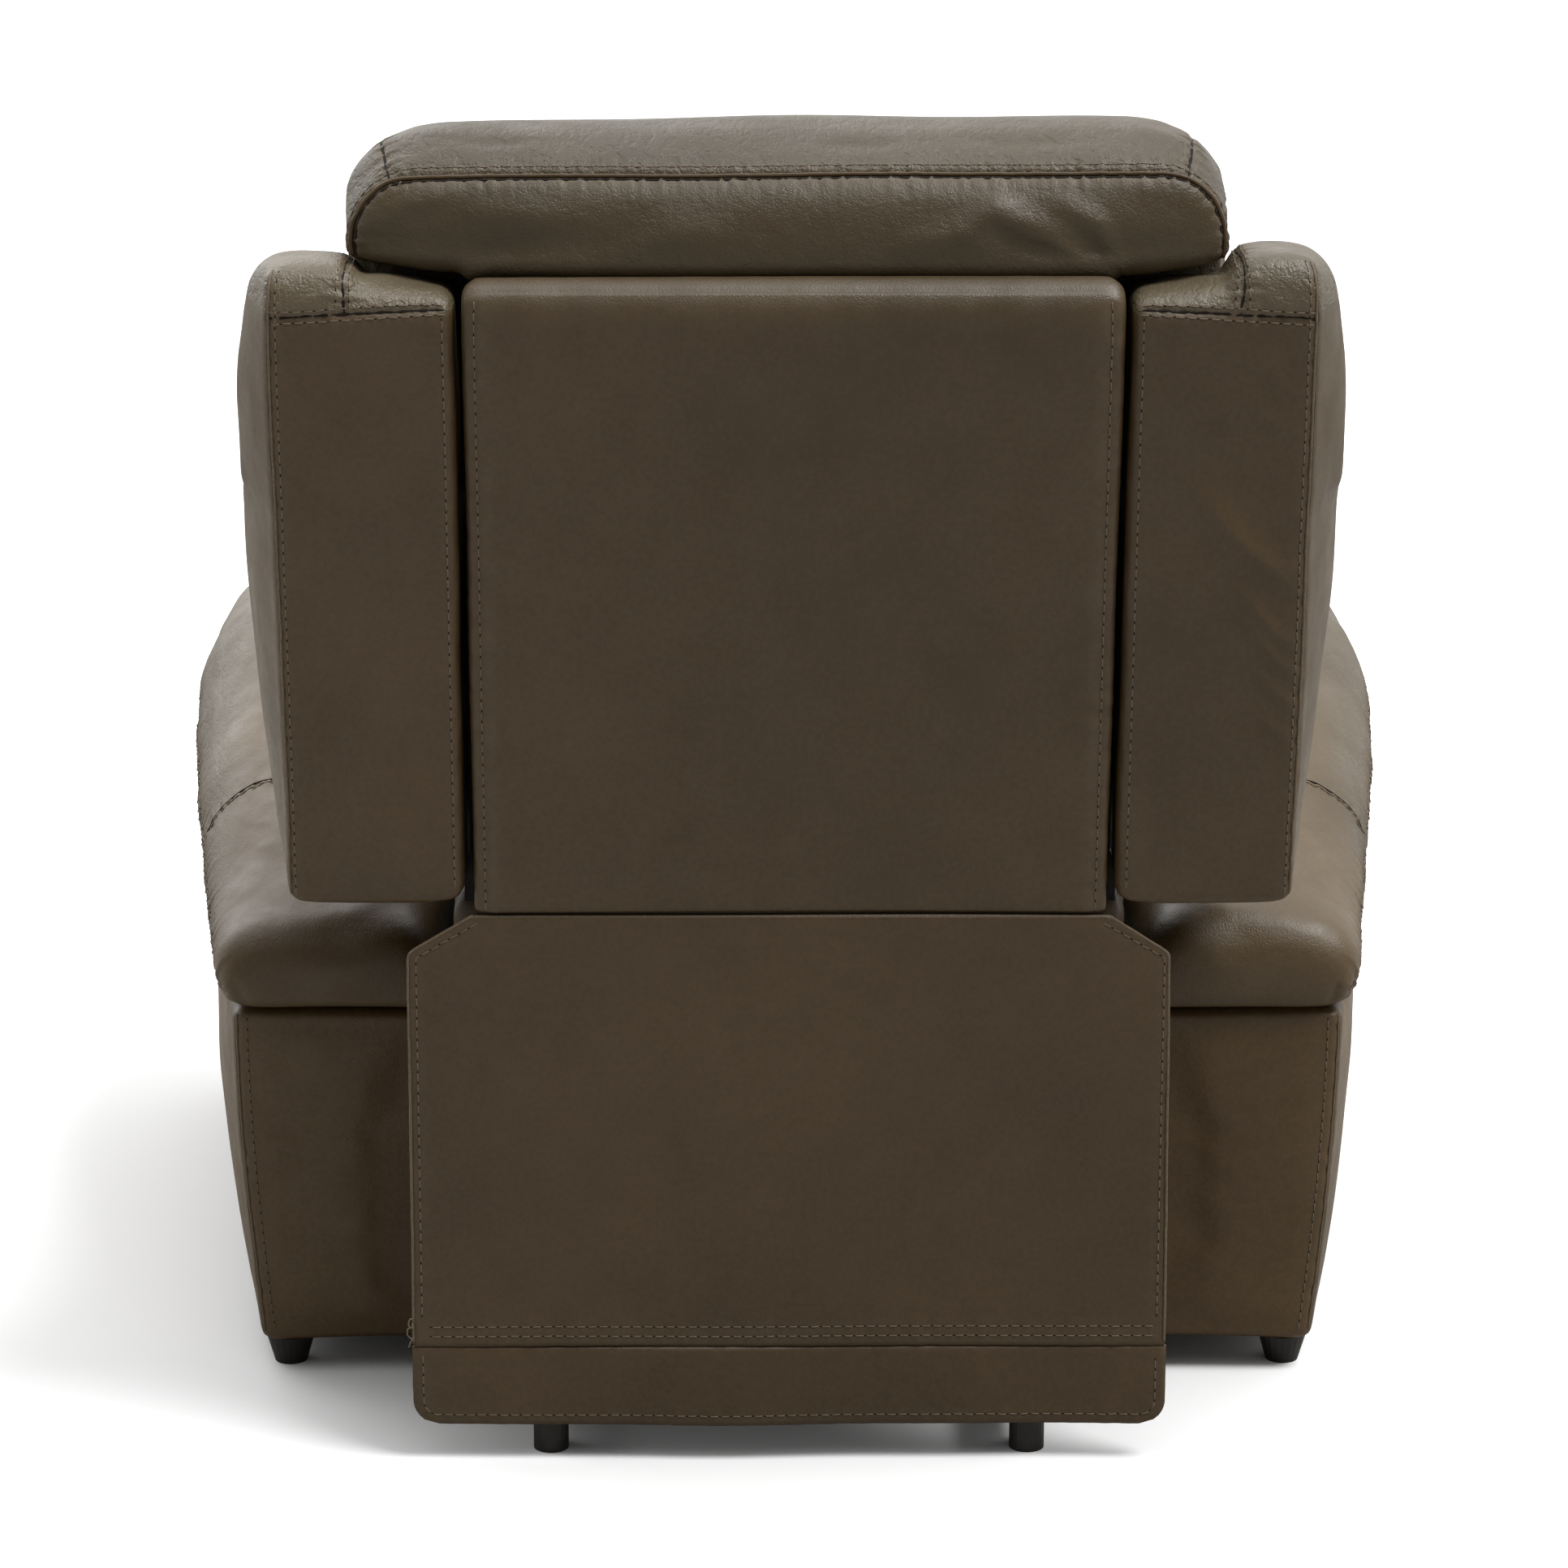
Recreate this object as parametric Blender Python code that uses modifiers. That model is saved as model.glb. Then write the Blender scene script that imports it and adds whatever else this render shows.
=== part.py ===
"""Power recliner armchair, one named object per physical piece.

Metres, +Z up, origin on the floor under the middle of the chair. The sitter faces -Y, so the
chair's back is at +Y, and the sitter's left hand is on the +X side.
"""

from math import cos, pi, radians, sin

import bmesh
import bpy
from mathutils import Matrix

# ---------------------------------------------------------------- driving dimensions
MESH_GAP = 0.0003            # clearance kept between pieces that rest on each other

# arms: the outer side flares towards the front, the top rises towards the front
ARM_INNER_X = 0.290
ARM_REAR_Y = 0.270
ARM_FRONT_Y = -0.505
ARM_BOTTOM_Z = 0.025
ARM_OUTER_X = [(-0.505, 0.498), (-0.45, 0.514), (-0.20, 0.506), (0.0, 0.490), (0.15, 0.475), (0.27, 0.452)]
ARM_TAPER = [(-0.505, 0.020), (0.15, 0.022), (0.27, 0.018)]
ARM_SEAM_Z = [(-0.505, 0.395), (-0.20, 0.375), (0.05, 0.335), (0.27, 0.315)]
PAD_INNER_X = 0.285
PAD_REAR_Y = 0.280
PAD_FRONT_Y = -0.5253
PAD_OUTER_X = [(-0.5253, 0.515), (-0.45, 0.538), (-0.25, 0.538), (0.05, 0.505), (0.15, 0.488), (0.28, 0.466)]
PAD_TOP_Z = [(-0.5253, 0.535), (-0.42, 0.560), (-0.28, 0.556), (0.05, 0.455), (0.20, 0.400), (0.28, 0.372)]

# floor base of the mechanism
BASE_RAIL_X = 0.190
BASE_RAIL_Z = (0.045, 0.070)
BASE_RAIL_Y = (-0.300, 0.445)
GLIDE_RADIUS = 0.014
GLIDE_Y = {"front": -0.280, "rear": 0.430}
TUBE = 0.025                 # square cross tubes
FRONT_TUBE_Y = -0.240
REAR_TUBE_Y = 0.300
CROSS_TUBE_Z = BASE_RAIL_Z[1] + MESH_GAP
POST_X = (0.240, 0.246)

# recline pivot, headrest pivot, flap hinges
RECLINE_Y, RECLINE_Z = 0.370, 0.380
HEADREST_Y, HEADREST_Z = 0.270, 0.797
FLAP_Y, FLAP_TOP_Z = 0.4600, 0.452
BAND_TOP_Z, BAND_BOTTOM_Z = 0.096, 0.030

# footrest lazy tongs: two crossed pairs of links on each side
LINK_HALF = 0.120            # from the crossing to either end pivot
LINK_ANGLE = radians(75)     # above level, with the footrest closed
LINK_END_RADIUS = 0.011
TONGS_Y, TONGS_TOP_Z = -0.338, 0.330
LIFT_LINK_X = (0.2350, 0.2395)
CROSS_LINK_X = (0.2405, 0.2450)
PIN_RADIUS = 0.005
PIN_HOLE_RADIUS = 0.0055
OPEN_PIVOT_RADIUS = 0.0065

# seat
SEAT_SIDE_X = (0.226, 0.232)
SEAT_SIDE_TOP_Z = 0.345
SEAT_HALF = 0.272
SEAT_Y = (-0.500, 0.340)
SEAT_BOTTOM_Z = 0.366

# back
BACK_LEAN = 0.1315           # rearward run for each metre of height
PANEL_HALF = 0.245
BACK_TOP_Z = 0.955
WING_X = (0.250, 0.423)
WING_BOTTOM_Z, WING_TOP_Z, WING_SHOULDER_Z = 0.461, 0.962, 0.785

CHAIR = bpy.data.collections.new("recliner_armchair")
CUTTERS = bpy.data.collections.new("cutters")
SIDES = {"left": 1, "right": -1}


# ---------------------------------------------------------------- making objects
def clear_scene():
    for old in list(bpy.data.objects):
        bpy.data.objects.remove(old, do_unlink=True)
    for group in (CHAIR, CUTTERS):
        bpy.context.scene.collection.children.link(group)


def make_material(name, colour, roughness, metallic=0.0):
    made = bpy.data.materials.new(name)
    made.use_nodes = True
    shader = made.node_tree.nodes["Principled BSDF"]
    shader.inputs["Base Color"].default_value = (*colour, 1.0)
    shader.inputs["Roughness"].default_value = roughness
    shader.inputs["Metallic"].default_value = metallic
    return made


def add(name, mesh, material, group=None):
    piece = bpy.data.objects.new(name, mesh)
    (group or CHAIR).objects.link(piece)
    if material:
        mesh.materials.append(material)
    return piece


def finish_bmesh(bm, name):
    bmesh.ops.recalc_face_normals(bm, faces=bm.faces)
    mesh = bpy.data.meshes.new(name)
    bm.to_mesh(mesh)
    bm.free()
    return mesh


def box(name, low, high, material, bevel=0.0, group=None):
    """A box between two corners, with its edges rounded when bevel is given."""
    bm = bmesh.new()
    bmesh.ops.create_cube(bm, size=1.0)
    size = [h - l for l, h in zip(low, high)]
    bmesh.ops.scale(bm, vec=size, verts=bm.verts)
    centre = [(h + l) / 2 for l, h in zip(low, high)]
    piece = add(name, finish_bmesh(bm, name), material, group)
    piece.location = centre
    if bevel:
        rounding = piece.modifiers.new("rounded_edges", "BEVEL")
        rounding.width = bevel
        rounding.segments = 2
    return piece


def side_box(name, side, x, y, z, material, bevel=0.0):
    """A box on one side of the chair; x runs outward from the middle."""
    xs = sorted(side * value for value in x)
    return box(name, (xs[0], y[0], z[0]), (xs[1], y[1], z[1]), material, bevel)


def rod(name, x, y, z, radius, material, group=None, sides=16):
    """A round bar along X."""
    bm = bmesh.new()
    bmesh.ops.create_cone(bm, cap_ends=True, segments=sides, radius1=radius, radius2=radius,
                          depth=abs(x[1] - x[0]))
    bmesh.ops.rotate(bm, matrix=Matrix.Rotation(pi / 2, 3, "Y"), verts=bm.verts)
    piece = add(name, finish_bmesh(bm, name), material, group)
    piece.location = ((x[0] + x[1]) / 2, y, z)
    piece.data.shade_smooth()
    piece.data.set_sharp_from_angle(angle=radians(40))
    return piece


def foot(name, x, y, top_z, top_radius, bottom_radius, material):
    """A round foot standing on the floor."""
    bm = bmesh.new()
    bmesh.ops.create_cone(bm, cap_ends=True, segments=20, radius1=bottom_radius,
                          radius2=top_radius, depth=top_z)
    piece = add(name, finish_bmesh(bm, name), material)
    piece.location = (x, y, top_z / 2)
    piece.data.shade_smooth()
    piece.data.set_sharp_from_angle(angle=radians(40))
    return piece


def plate(name, outline, x, material, group=None):
    """A flat piece whose (y, z) outline is extruded along X."""
    curve = bpy.data.curves.new(name + "_outline", "CURVE")
    curve.dimensions = "2D"
    curve.fill_mode = "BOTH"
    curve.extrude = abs(x[1] - x[0]) / 2
    spline = curve.splines.new("POLY")
    spline.points.add(len(outline) - 1)
    for point, (y, z) in zip(spline.points, outline):
        point.co = (y, z, 0.0, 1.0)
    spline.use_cyclic_u = True
    drawn = bpy.data.objects.new(name + "_curve", curve)
    CUTTERS.objects.link(drawn)
    bpy.context.view_layer.update()
    mesh = bpy.data.meshes.new_from_object(drawn.evaluated_get(bpy.context.evaluated_depsgraph_get()))
    bpy.data.objects.remove(drawn)
    bm = bmesh.new()
    bm.from_mesh(mesh)
    bmesh.ops.remove_doubles(bm, verts=bm.verts, dist=0.00001)
    stand_up = Matrix(((0, 0, 1, 0), (1, 0, 0, 0), (0, 1, 0, 0), (0, 0, 0, 1)))
    bmesh.ops.transform(bm, matrix=stand_up, verts=bm.verts)
    piece = add(name, finish_bmesh(bm, name), material, group)
    piece.location.x = (x[0] + x[1]) / 2
    return piece


def tube(name, points, radius, material, group=None, resolution=2):
    """A round tube along a path, meshed with its end caps welded."""
    curve = bpy.data.curves.new(name + "_path", "CURVE")
    curve.dimensions = "3D"
    curve.bevel_depth = radius
    curve.bevel_resolution = resolution
    curve.use_fill_caps = True
    spline = curve.splines.new("POLY")
    spline.points.add(len(points) - 1)
    for point, place in zip(spline.points, points):
        point.co = (*place, 1.0)
    drawn = bpy.data.objects.new(name + "_curve", curve)
    CUTTERS.objects.link(drawn)
    bpy.context.view_layer.update()
    mesh = bpy.data.meshes.new_from_object(drawn.evaluated_get(bpy.context.evaluated_depsgraph_get()))
    bpy.data.objects.remove(drawn)
    bm = bmesh.new()
    bm.from_mesh(mesh)
    bmesh.ops.remove_doubles(bm, verts=bm.verts, dist=0.00001)
    return add(name, finish_bmesh(bm, name), material, group)


def combine(piece, other, operation):
    """Cuts the other shape out of the piece, or joins it on, by an exact Boolean."""
    other.hide_render = True
    other.display_type = "WIRE"
    step = piece.modifiers.new(operation.lower(), "BOOLEAN")
    step.operation = operation
    step.object = other
    return piece


def stadium(start, end, radius, arc_steps=5):
    """The outline of a round-ended bar between two pivots, as (y, z) points."""
    from_start = ((end[0] - start[0]), (end[1] - start[1]))
    length = (from_start[0] ** 2 + from_start[1] ** 2) ** 0.5
    along = (from_start[0] / length, from_start[1] / length)
    across = (-along[1], along[0])
    outline = []
    for centre, turn in ((end, 1), (start, -1)):
        for step in range(arc_steps + 1):
            angle = pi * step / arc_steps - pi / 2
            forward = turn * radius * cos(angle)
            sideways = turn * radius * sin(angle)
            outline.append((centre[0] + along[0] * forward + across[0] * sideways,
                            centre[1] + along[1] * forward + across[1] * sideways))
    return outline


# ---------------------------------------------------------------- soft solids
def read_off(table, position):
    """The value of a piecewise straight line, given as (position, value) pairs."""
    for (p0, v0), (p1, v1) in zip(table, table[1:]):
        if position <= p1:
            share = min(max((position - p0) / (p1 - p0), 0.0), 1.0)
            return v0 + (v1 - v0) * share
    return table[-1][1]


def rounded_ring(a, b, radius, corner_steps=2):
    """Points round a rectangle a[0]..a[1] by b[0]..b[1] with round corners."""
    radius = min(radius, (a[1] - a[0]) / 2.01, (b[1] - b[0]) / 2.01)
    centres = [(a[1] - radius, b[1] - radius), (a[0] + radius, b[1] - radius),
               (a[0] + radius, b[0] + radius), (a[1] - radius, b[0] + radius)]
    ring = []
    for quarter, (ca, cb) in enumerate(centres):
        for step in range(corner_steps + 1):
            angle = pi / 2 * (quarter + step / corner_steps)
            ring.append((ca + radius * cos(angle), cb + radius * sin(angle)))
    return ring


def soft_solid(name, place, start, end, middles, section, material, edge=0.02):
    """A closed pillow lofted through rounded sections, drawn in at both ends."""
    ends = [(0.0, edge), (0.3 * edge, 0.3 * edge), (edge, 0.0)]
    stations = [(start + run, inset) for run, inset in ends]
    stations += [(middle, 0.0) for middle in middles]
    stations += [(end - run, inset) for run, inset in reversed(ends)]
    bm = bmesh.new()
    rings = []
    for position, inset in stations:
        a, b, radius = section(position)
        ring = rounded_ring((a[0] + inset, a[1] - inset), (b[0] + inset, b[1] - inset), radius)
        rings.append([bm.verts.new(place(position, *point)) for point in ring])
    for ring, following in zip(rings, rings[1:]):
        for i, vertex in enumerate(ring):
            j = (i + 1) % len(ring)
            bm.faces.new((vertex, ring[j], following[j], following[i]))
    bm.faces.new(rings[0])
    bm.faces.new(rings[-1])
    piece = add(name, finish_bmesh(bm, name), material)
    piece.data.shade_smooth()
    piece.data.set_sharp_from_angle(angle=radians(50))
    return piece


def along_y(side=1):
    return lambda y, x, z: (side * x, y, z)


def along_z(side=1):
    return lambda z, x, y: (side * x, y, z)


def back_face_y(z):
    """The rear face of the leaning back at one height."""
    return FLAP_Y + (z - FLAP_TOP_Z) * BACK_LEAN


# ---------------------------------------------------------------- floor base
def floor_base(steel, black_plastic):
    for hand, side in SIDES.items():
        rail_x = (BASE_RAIL_X - 0.015, BASE_RAIL_X + 0.015)
        side_box(f"base_rail_{hand}", side, rail_x, BASE_RAIL_Y, BASE_RAIL_Z, steel, 0.002)
        for end, y in GLIDE_Y.items():
            foot(f"base_glide_{end}_{hand}", side * BASE_RAIL_X, y, BASE_RAIL_Z[0] - MESH_GAP,
                 GLIDE_RADIUS, GLIDE_RADIUS, black_plastic)
    tube_z = (CROSS_TUBE_Z, CROSS_TUBE_Z + TUBE)
    reach = ARM_INNER_X - 0.0005
    for name, y in (("front_cross_tube", FRONT_TUBE_Y), ("rear_cross_tube", REAR_TUBE_Y)):
        box(name, (-reach, y, tube_z[0]), (reach, y + TUBE, tube_z[1]), steel, 0.002)
    for hand, side in SIDES.items():
        recline_post(f"recline_post_{hand}", side, tube_z[1] + MESH_GAP, steel)
    inlet_y = REAR_TUBE_Y + TUBE + MESH_GAP
    inlet = box("power_inlet", (0.080, inlet_y, tube_z[0]), (0.120, inlet_y + 0.022, tube_z[1]),
                black_plastic, 0.002)
    socket = box("inlet_socket", (0.091, inlet_y + 0.008, tube_z[0] + 0.007),
                 (0.109, inlet_y + 0.030, tube_z[1] - 0.007), None, group=CUTTERS)
    combine(inlet, socket, "DIFFERENCE")


def recline_post(name, side, foot_z, steel):
    """The upright that carries one end of the recline pivot."""
    crown = [(RECLINE_Y + 0.021 * cos(a), RECLINE_Z + 0.021 * sin(a))
             for a in (radians(step * 30) for step in range(7))]
    outline = [(REAR_TUBE_Y - 0.004, foot_z), (REAR_TUBE_Y + TUBE + 0.004, foot_z)] + crown
    xs = sorted(side * x for x in POST_X)
    post = plate(name, outline, xs, steel)
    hole = rod(name + "_hole", (xs[0] - 0.002, xs[1] + 0.002), RECLINE_Y, RECLINE_Z, 0.0067,
               None, CUTTERS)
    combine(post, hole, "DIFFERENCE")


# ---------------------------------------------------------------- arms
def arm(hand, side, leather, cambric, black_plastic):
    def body_section(y):
        outer = read_off(ARM_OUTER_X, y)
        return (ARM_INNER_X, outer), (ARM_BOTTOM_Z, read_off(ARM_SEAM_Z, y) - MESH_GAP), 0.018

    def tapered(y, x, z):
        height = (z - ARM_BOTTOM_Z) / (read_off(ARM_SEAM_Z, y) - ARM_BOTTOM_Z)
        reach = (x - ARM_INNER_X) / (read_off(ARM_OUTER_X, y) - ARM_INNER_X)
        return (side * (x - reach * (1 - height) * read_off(ARM_TAPER, y)), y, z)

    def pad_section(y):
        outer = read_off(PAD_OUTER_X, y)
        return (PAD_INNER_X, outer), (read_off(ARM_SEAM_Z, y) + MESH_GAP, read_off(PAD_TOP_Z, y)), 0.040

    middles = (-0.45, -0.36, -0.28, -0.20, -0.10, 0.0, 0.05, 0.15, 0.20)
    soft_solid(f"arm_body_{hand}", tapered, ARM_FRONT_Y, ARM_REAR_Y, middles, body_section,
               leather, 0.016)
    soft_solid(f"arm_pad_{hand}", along_y(side), PAD_FRONT_Y, PAD_REAR_Y, middles,
               pad_section, leather, 0.030)
    foot_top = ARM_BOTTOM_Z - MESH_GAP
    foot(f"arm_foot_rear_{hand}", side * 0.414, 0.240, foot_top, 0.0205, 0.0135, black_plastic)
    foot(f"arm_foot_front_{hand}", side * 0.440, -0.440, foot_top, 0.0205, 0.0135, black_plastic)
    side_box(f"dust_cover_{hand}", side, (0.305, 0.435), (-0.400, 0.205),
             (0.0190, foot_top), cambric, 0.002)


# ---------------------------------------------------------------- control panel on the right arm
PANEL_Y = (-0.300, -0.200)
PANEL_Z = (0.446, 0.488)
PANEL_FACE_X = -(PAD_INNER_X - 0.0075)
BUTTONS = {"recline_button_open": -0.286, "recline_button_close": -0.264,
           "headrest_button_up": -0.236, "headrest_button_down": -0.214}
BUTTON_HALF = 0.0080
BUTTON_PROUD = 0.0020


def control_panel(black_plastic, button_plastic):
    back_x = -(PAD_INNER_X - MESH_GAP)
    panel = box("control_panel", (back_x, PANEL_Y[0], PANEL_Z[0]), (PANEL_FACE_X, PANEL_Y[1], PANEL_Z[1]),
                black_plastic, 0.0012)
    middle_z = (PANEL_Z[0] + PANEL_Z[1]) / 2
    window = BUTTON_HALF + 0.0005
    for name, y in BUTTONS.items():
        cutter = box(name + "_window", (back_x - 0.002, y - window, middle_z - window),
                     (PANEL_FACE_X + 0.002, y + window, middle_z + window), None, group=CUTTERS)
        combine(panel, cutter, "DIFFERENCE")
        button = box(name, (back_x + 0.0026, y - BUTTON_HALF, middle_z - BUTTON_HALF),
                     (PANEL_FACE_X + BUTTON_PROUD, y + BUTTON_HALF, middle_z + BUTTON_HALF),
                     button_plastic, 0.0008)
        ride(f"{name}_axis", (PANEL_FACE_X, y, middle_z), [button])


# ---------------------------------------------------------------- seat carriage
def seat_carriage(steel, leather, black_plastic):
    pieces = [seat_side(f"seat_side_{hand}", side, steel) for hand, side in SIDES.items()]
    reach = SEAT_SIDE_X[0] - MESH_GAP
    rail_z = (0.300, 0.300 + TUBE)
    rails = {"seat_front_rail": -0.280, "seat_rear_rail": 0.220}
    for name, y in rails.items():
        pieces.append(box(name, (-reach, y, rail_z[0]), (reach, y + TUBE, rail_z[1]), steel, 0.002))
    spring_y = (rails["seat_front_rail"] + 0.008, rails["seat_rear_rail"] + TUBE - 0.008)
    pieces.append(seat_springs(spring_y, rail_z[1] + 0.0045, steel))
    pieces.append(seat_cushion(leather))
    motor = box("actuator_motor", (-0.034, 0.090, 0.200), (0.034, 0.216, 0.290), black_plastic, 0.008)
    pieces.append(motor)
    pieces.append(box("actuator_rail", (-0.012, -0.240, 0.233), (0.012, 0.090 - MESH_GAP, 0.257), steel, 0.002))
    ride("seat_glide_axis", (0.0, RECLINE_Y, CROSS_TUBE_Z + TUBE), pieces)
    nut = box("actuator_nut", (-0.018, -0.075, 0.205), (0.018, -0.015, 0.2325), black_plastic, 0.002)
    ride("actuator_axis", (0.0, -0.045, 0.220), [nut])


def seat_side(name, side, steel):
    """A side plate that slides on the cross tubes and carries the footrest links."""
    foot_z = CROSS_TUBE_Z + TUBE + 0.0005
    front_y = TONGS_Y - 0.020
    outline = [(front_y, 0.080), (-0.290, 0.080), (-0.262, foot_z), (0.290, foot_z),
               (0.290, 0.320), (0.265, SEAT_SIDE_TOP_Z), (front_y, SEAT_SIDE_TOP_Z)]
    xs = sorted(side * x for x in SEAT_SIDE_X)
    through = (xs[0] - 0.002, xs[1] + 0.002)
    piece = plate(name, outline, xs, steel)
    low_end = link_pivot(0, False)
    slot = plate(name + "_slot", stadium((TONGS_Y, low_end[1] - 0.002), (TONGS_Y, 0.270), 0.0063),
                 through, None, CUTTERS)
    combine(piece, slot, "DIFFERENCE")
    pivot = rod(name + "_pivot_hole", through, TONGS_Y, TONGS_TOP_Z, PIN_HOLE_RADIUS, None, CUTTERS)
    return combine(piece, pivot, "DIFFERENCE")


def seat_springs(y, z, steel):
    """Four zigzag springs tied together by two cross wires."""
    wire = 0.0020
    pitch = 0.040
    turns = round((y[1] - y[0]) / pitch)
    springs = None
    for row, x in enumerate((-0.165, -0.055, 0.055, 0.165)):
        path = [(x, y[0], z)]
        for turn in range(turns):
            swing = 0.022 if turn % 2 else -0.022
            at = y[0] + (turn + 0.25) * pitch
            path += [(x + swing, at, z), (x + swing, at + pitch / 2, z)]
        path.append((x, y[1], z))
        name = "seat_springs" if row == 0 else f"spring_{row}"
        strand = tube(name, path, wire, steel if row == 0 else None, None if row == 0 else CUTTERS, 1)
        if row == 0:
            springs = strand
        else:
            combine(springs, strand, "UNION")
    for tie, share in enumerate((0.30, 0.72)):
        tie_y = y[0] + share * (y[1] - y[0])
        wire_piece = rod(f"spring_tie_{tie}", (-0.200, 0.200), tie_y, z + 0.0013, 0.0015, None, CUTTERS, 8)
        combine(springs, wire_piece, "UNION")
    return springs


def seat_cushion(leather):
    top = [(-0.50, 0.452), (-0.44, 0.472), (0.10, 0.468), (0.34, 0.445)]

    def section(y):
        return (-SEAT_HALF, SEAT_HALF), (SEAT_BOTTOM_Z, read_off(top, y)), 0.028

    return soft_solid("seat_cushion", along_y(), SEAT_Y[0], SEAT_Y[1], (-0.44, -0.25, 0.10, 0.25),
                      section, leather, 0.022)


# ---------------------------------------------------------------- footrest links
def link_pivot(stage, top):
    """An end pivot of the tongs, counted forward from the seat's side plate."""
    y = TONGS_Y - stage * 2 * LINK_HALF * cos(LINK_ANGLE)
    return y, TONGS_TOP_Z - (0.0 if top else 2 * LINK_HALF * sin(LINK_ANGLE))


def crossing(stage):
    """The pivot where the two links of one stage cross."""
    rear, front = link_pivot(stage, True), link_pivot(stage + 1, False)
    return (rear[0] + front[0]) / 2, (rear[1] + front[1]) / 2


def link(name, side, ends, x, steel, pins=(), holes=()):
    """A round-ended link; pins are (point, x range), holes are (point, radius)."""
    xs = sorted(side * value for value in x)
    piece = plate(name, stadium(*ends, LINK_END_RADIUS), xs, steel)
    for number, (point, pin_x) in enumerate(pins):
        pin_xs = sorted(side * value for value in pin_x)
        pin = rod(f"{name}_pin_{number}", pin_xs, *point, PIN_RADIUS, None, CUTTERS, 12)
        combine(piece, pin, "UNION")
    for number, (point, radius) in enumerate(holes):
        hole = rod(f"{name}_hole_{number}", (xs[0] - 0.002, xs[1] + 0.002), *point, radius, None, CUTTERS, 12)
        combine(piece, hole, "DIFFERENCE")
    return piece


def footrest_links(steel, leather, wood):
    outward = (LIFT_LINK_X[0] + 0.001, CROSS_LINK_X[1] + 0.0008)
    inward = (SEAT_SIDE_X[0] - 0.0037, LIFT_LINK_X[1] - 0.001)
    guide = (SEAT_SIDE_X[0] - 0.002, CROSS_LINK_X[1] - 0.001)
    to_bracket = (CROSS_LINK_X[0] + 0.001, 0.2520)
    bodies = {"rear_lift": [], "rear_cross": [], "front_lift": [], "front_cross": [], "footrest": []}
    for hand, side in SIDES.items():
        bodies["rear_lift"].append(link(
            f"rear_lift_link_{hand}", side, (link_pivot(0, True), link_pivot(1, False)), LIFT_LINK_X, steel,
            pins=[(link_pivot(0, True), inward), (crossing(0), outward), (link_pivot(1, False), outward)]))
        bodies["rear_cross"].append(link(
            f"rear_cross_link_{hand}", side, (link_pivot(0, False), link_pivot(1, True)), CROSS_LINK_X, steel,
            pins=[(link_pivot(0, False), guide)],
            holes=[(crossing(0), PIN_HOLE_RADIUS), (link_pivot(1, True), PIN_HOLE_RADIUS)]))
        bodies["front_lift"].append(link(
            f"front_lift_link_{hand}", side, (link_pivot(1, True), link_pivot(2, False)), LIFT_LINK_X, steel,
            pins=[(link_pivot(1, True), outward), (crossing(1), outward)]))
        bodies["front_cross"].append(link(
            f"front_cross_link_{hand}", side, (link_pivot(1, False), link_pivot(2, True)), CROSS_LINK_X, steel,
            pins=[(link_pivot(2, True), to_bracket)],
            holes=[(link_pivot(1, False), PIN_HOLE_RADIUS), (crossing(1), OPEN_PIVOT_RADIUS)]))
        bodies["footrest"].append(footrest_bracket(f"footrest_bracket_{hand}", side, steel))
    bodies["rear_lift"].append(torque_tube(steel))
    bodies["footrest"] += footrest_board_and_pad(leather, wood)
    ride("footrest_extend_axis", (0.0, *link_pivot(0, True)), bodies["rear_lift"])
    ride("rear_crossing_axis", (0.0, *crossing(0)), bodies["rear_cross"])
    ride("upper_pivot_axis", (0.0, *link_pivot(1, True)), bodies["front_lift"])
    ride("lower_pivot_axis", (0.0, *link_pivot(1, False)), bodies["front_cross"])
    ride("footrest_tilt_axis", (0.0, *link_pivot(2, True)), bodies["footrest"])


def torque_tube(steel):
    """The cross tube that the actuator turns, with its crank lug."""
    reach = SEAT_SIDE_X[0] - 0.0043
    piece = rod("torque_tube", (-reach, reach), *link_pivot(0, True), 0.012, steel)
    lug = box("crank_lug", (-0.006, TONGS_Y - 0.008, TONGS_TOP_Z - 0.062),
              (0.006, TONGS_Y + 0.008, TONGS_TOP_Z - 0.005), None, group=CUTTERS)
    return combine(piece, lug, "UNION")


FOOTREST_BOARD_Y = (-0.4900, -0.4755)
FOOTREST_PAD_Y = (-0.5180, -0.4903)


def footrest_bracket(name, side, steel):
    y, z = link_pivot(2, True)
    rear_y = y + LINK_END_RADIUS
    board_y = FOOTREST_BOARD_Y[1] + MESH_GAP
    outline = [(board_y, 0.130), (rear_y, 0.150), (rear_y, z + 0.010), (board_y, z + 0.016)]
    xs = sorted(side * x for x in (0.2462, 0.2510))
    piece = plate(name, outline, xs, steel)
    hole = rod(name + "_hole", (xs[0] - 0.002, xs[1] + 0.002), y, z, PIN_HOLE_RADIUS, None, CUTTERS, 12)
    return combine(piece, hole, "DIFFERENCE")


def footrest_board_and_pad(leather, wood):
    board = box("footrest_board", (-0.258, FOOTREST_BOARD_Y[0], 0.075), (0.258, FOOTREST_BOARD_Y[1], 0.352),
                wood, 0.002)

    def section(z):
        return (-0.266, 0.266), FOOTREST_PAD_Y, 0.012

    pad = soft_solid("footrest_pad", along_z(), 0.062, 0.358, (0.13, 0.21, 0.29), section, leather, 0.010)
    return [board, pad]


# ---------------------------------------------------------------- back
def back(steel, leather):
    pieces = [back_frame(steel), outer_back_panel(leather), back_cushion(leather)]
    pieces += [wing(f"wing_{hand}", side, leather) for hand, side in SIDES.items()]
    pieces.append(rod("headrest_hinge_tube", (-0.249, 0.249), HEADREST_Y, HEADREST_Z, 0.007, steel))
    ride("back_recline_axis", (0.0, RECLINE_Y, RECLINE_Z), pieces)


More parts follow.
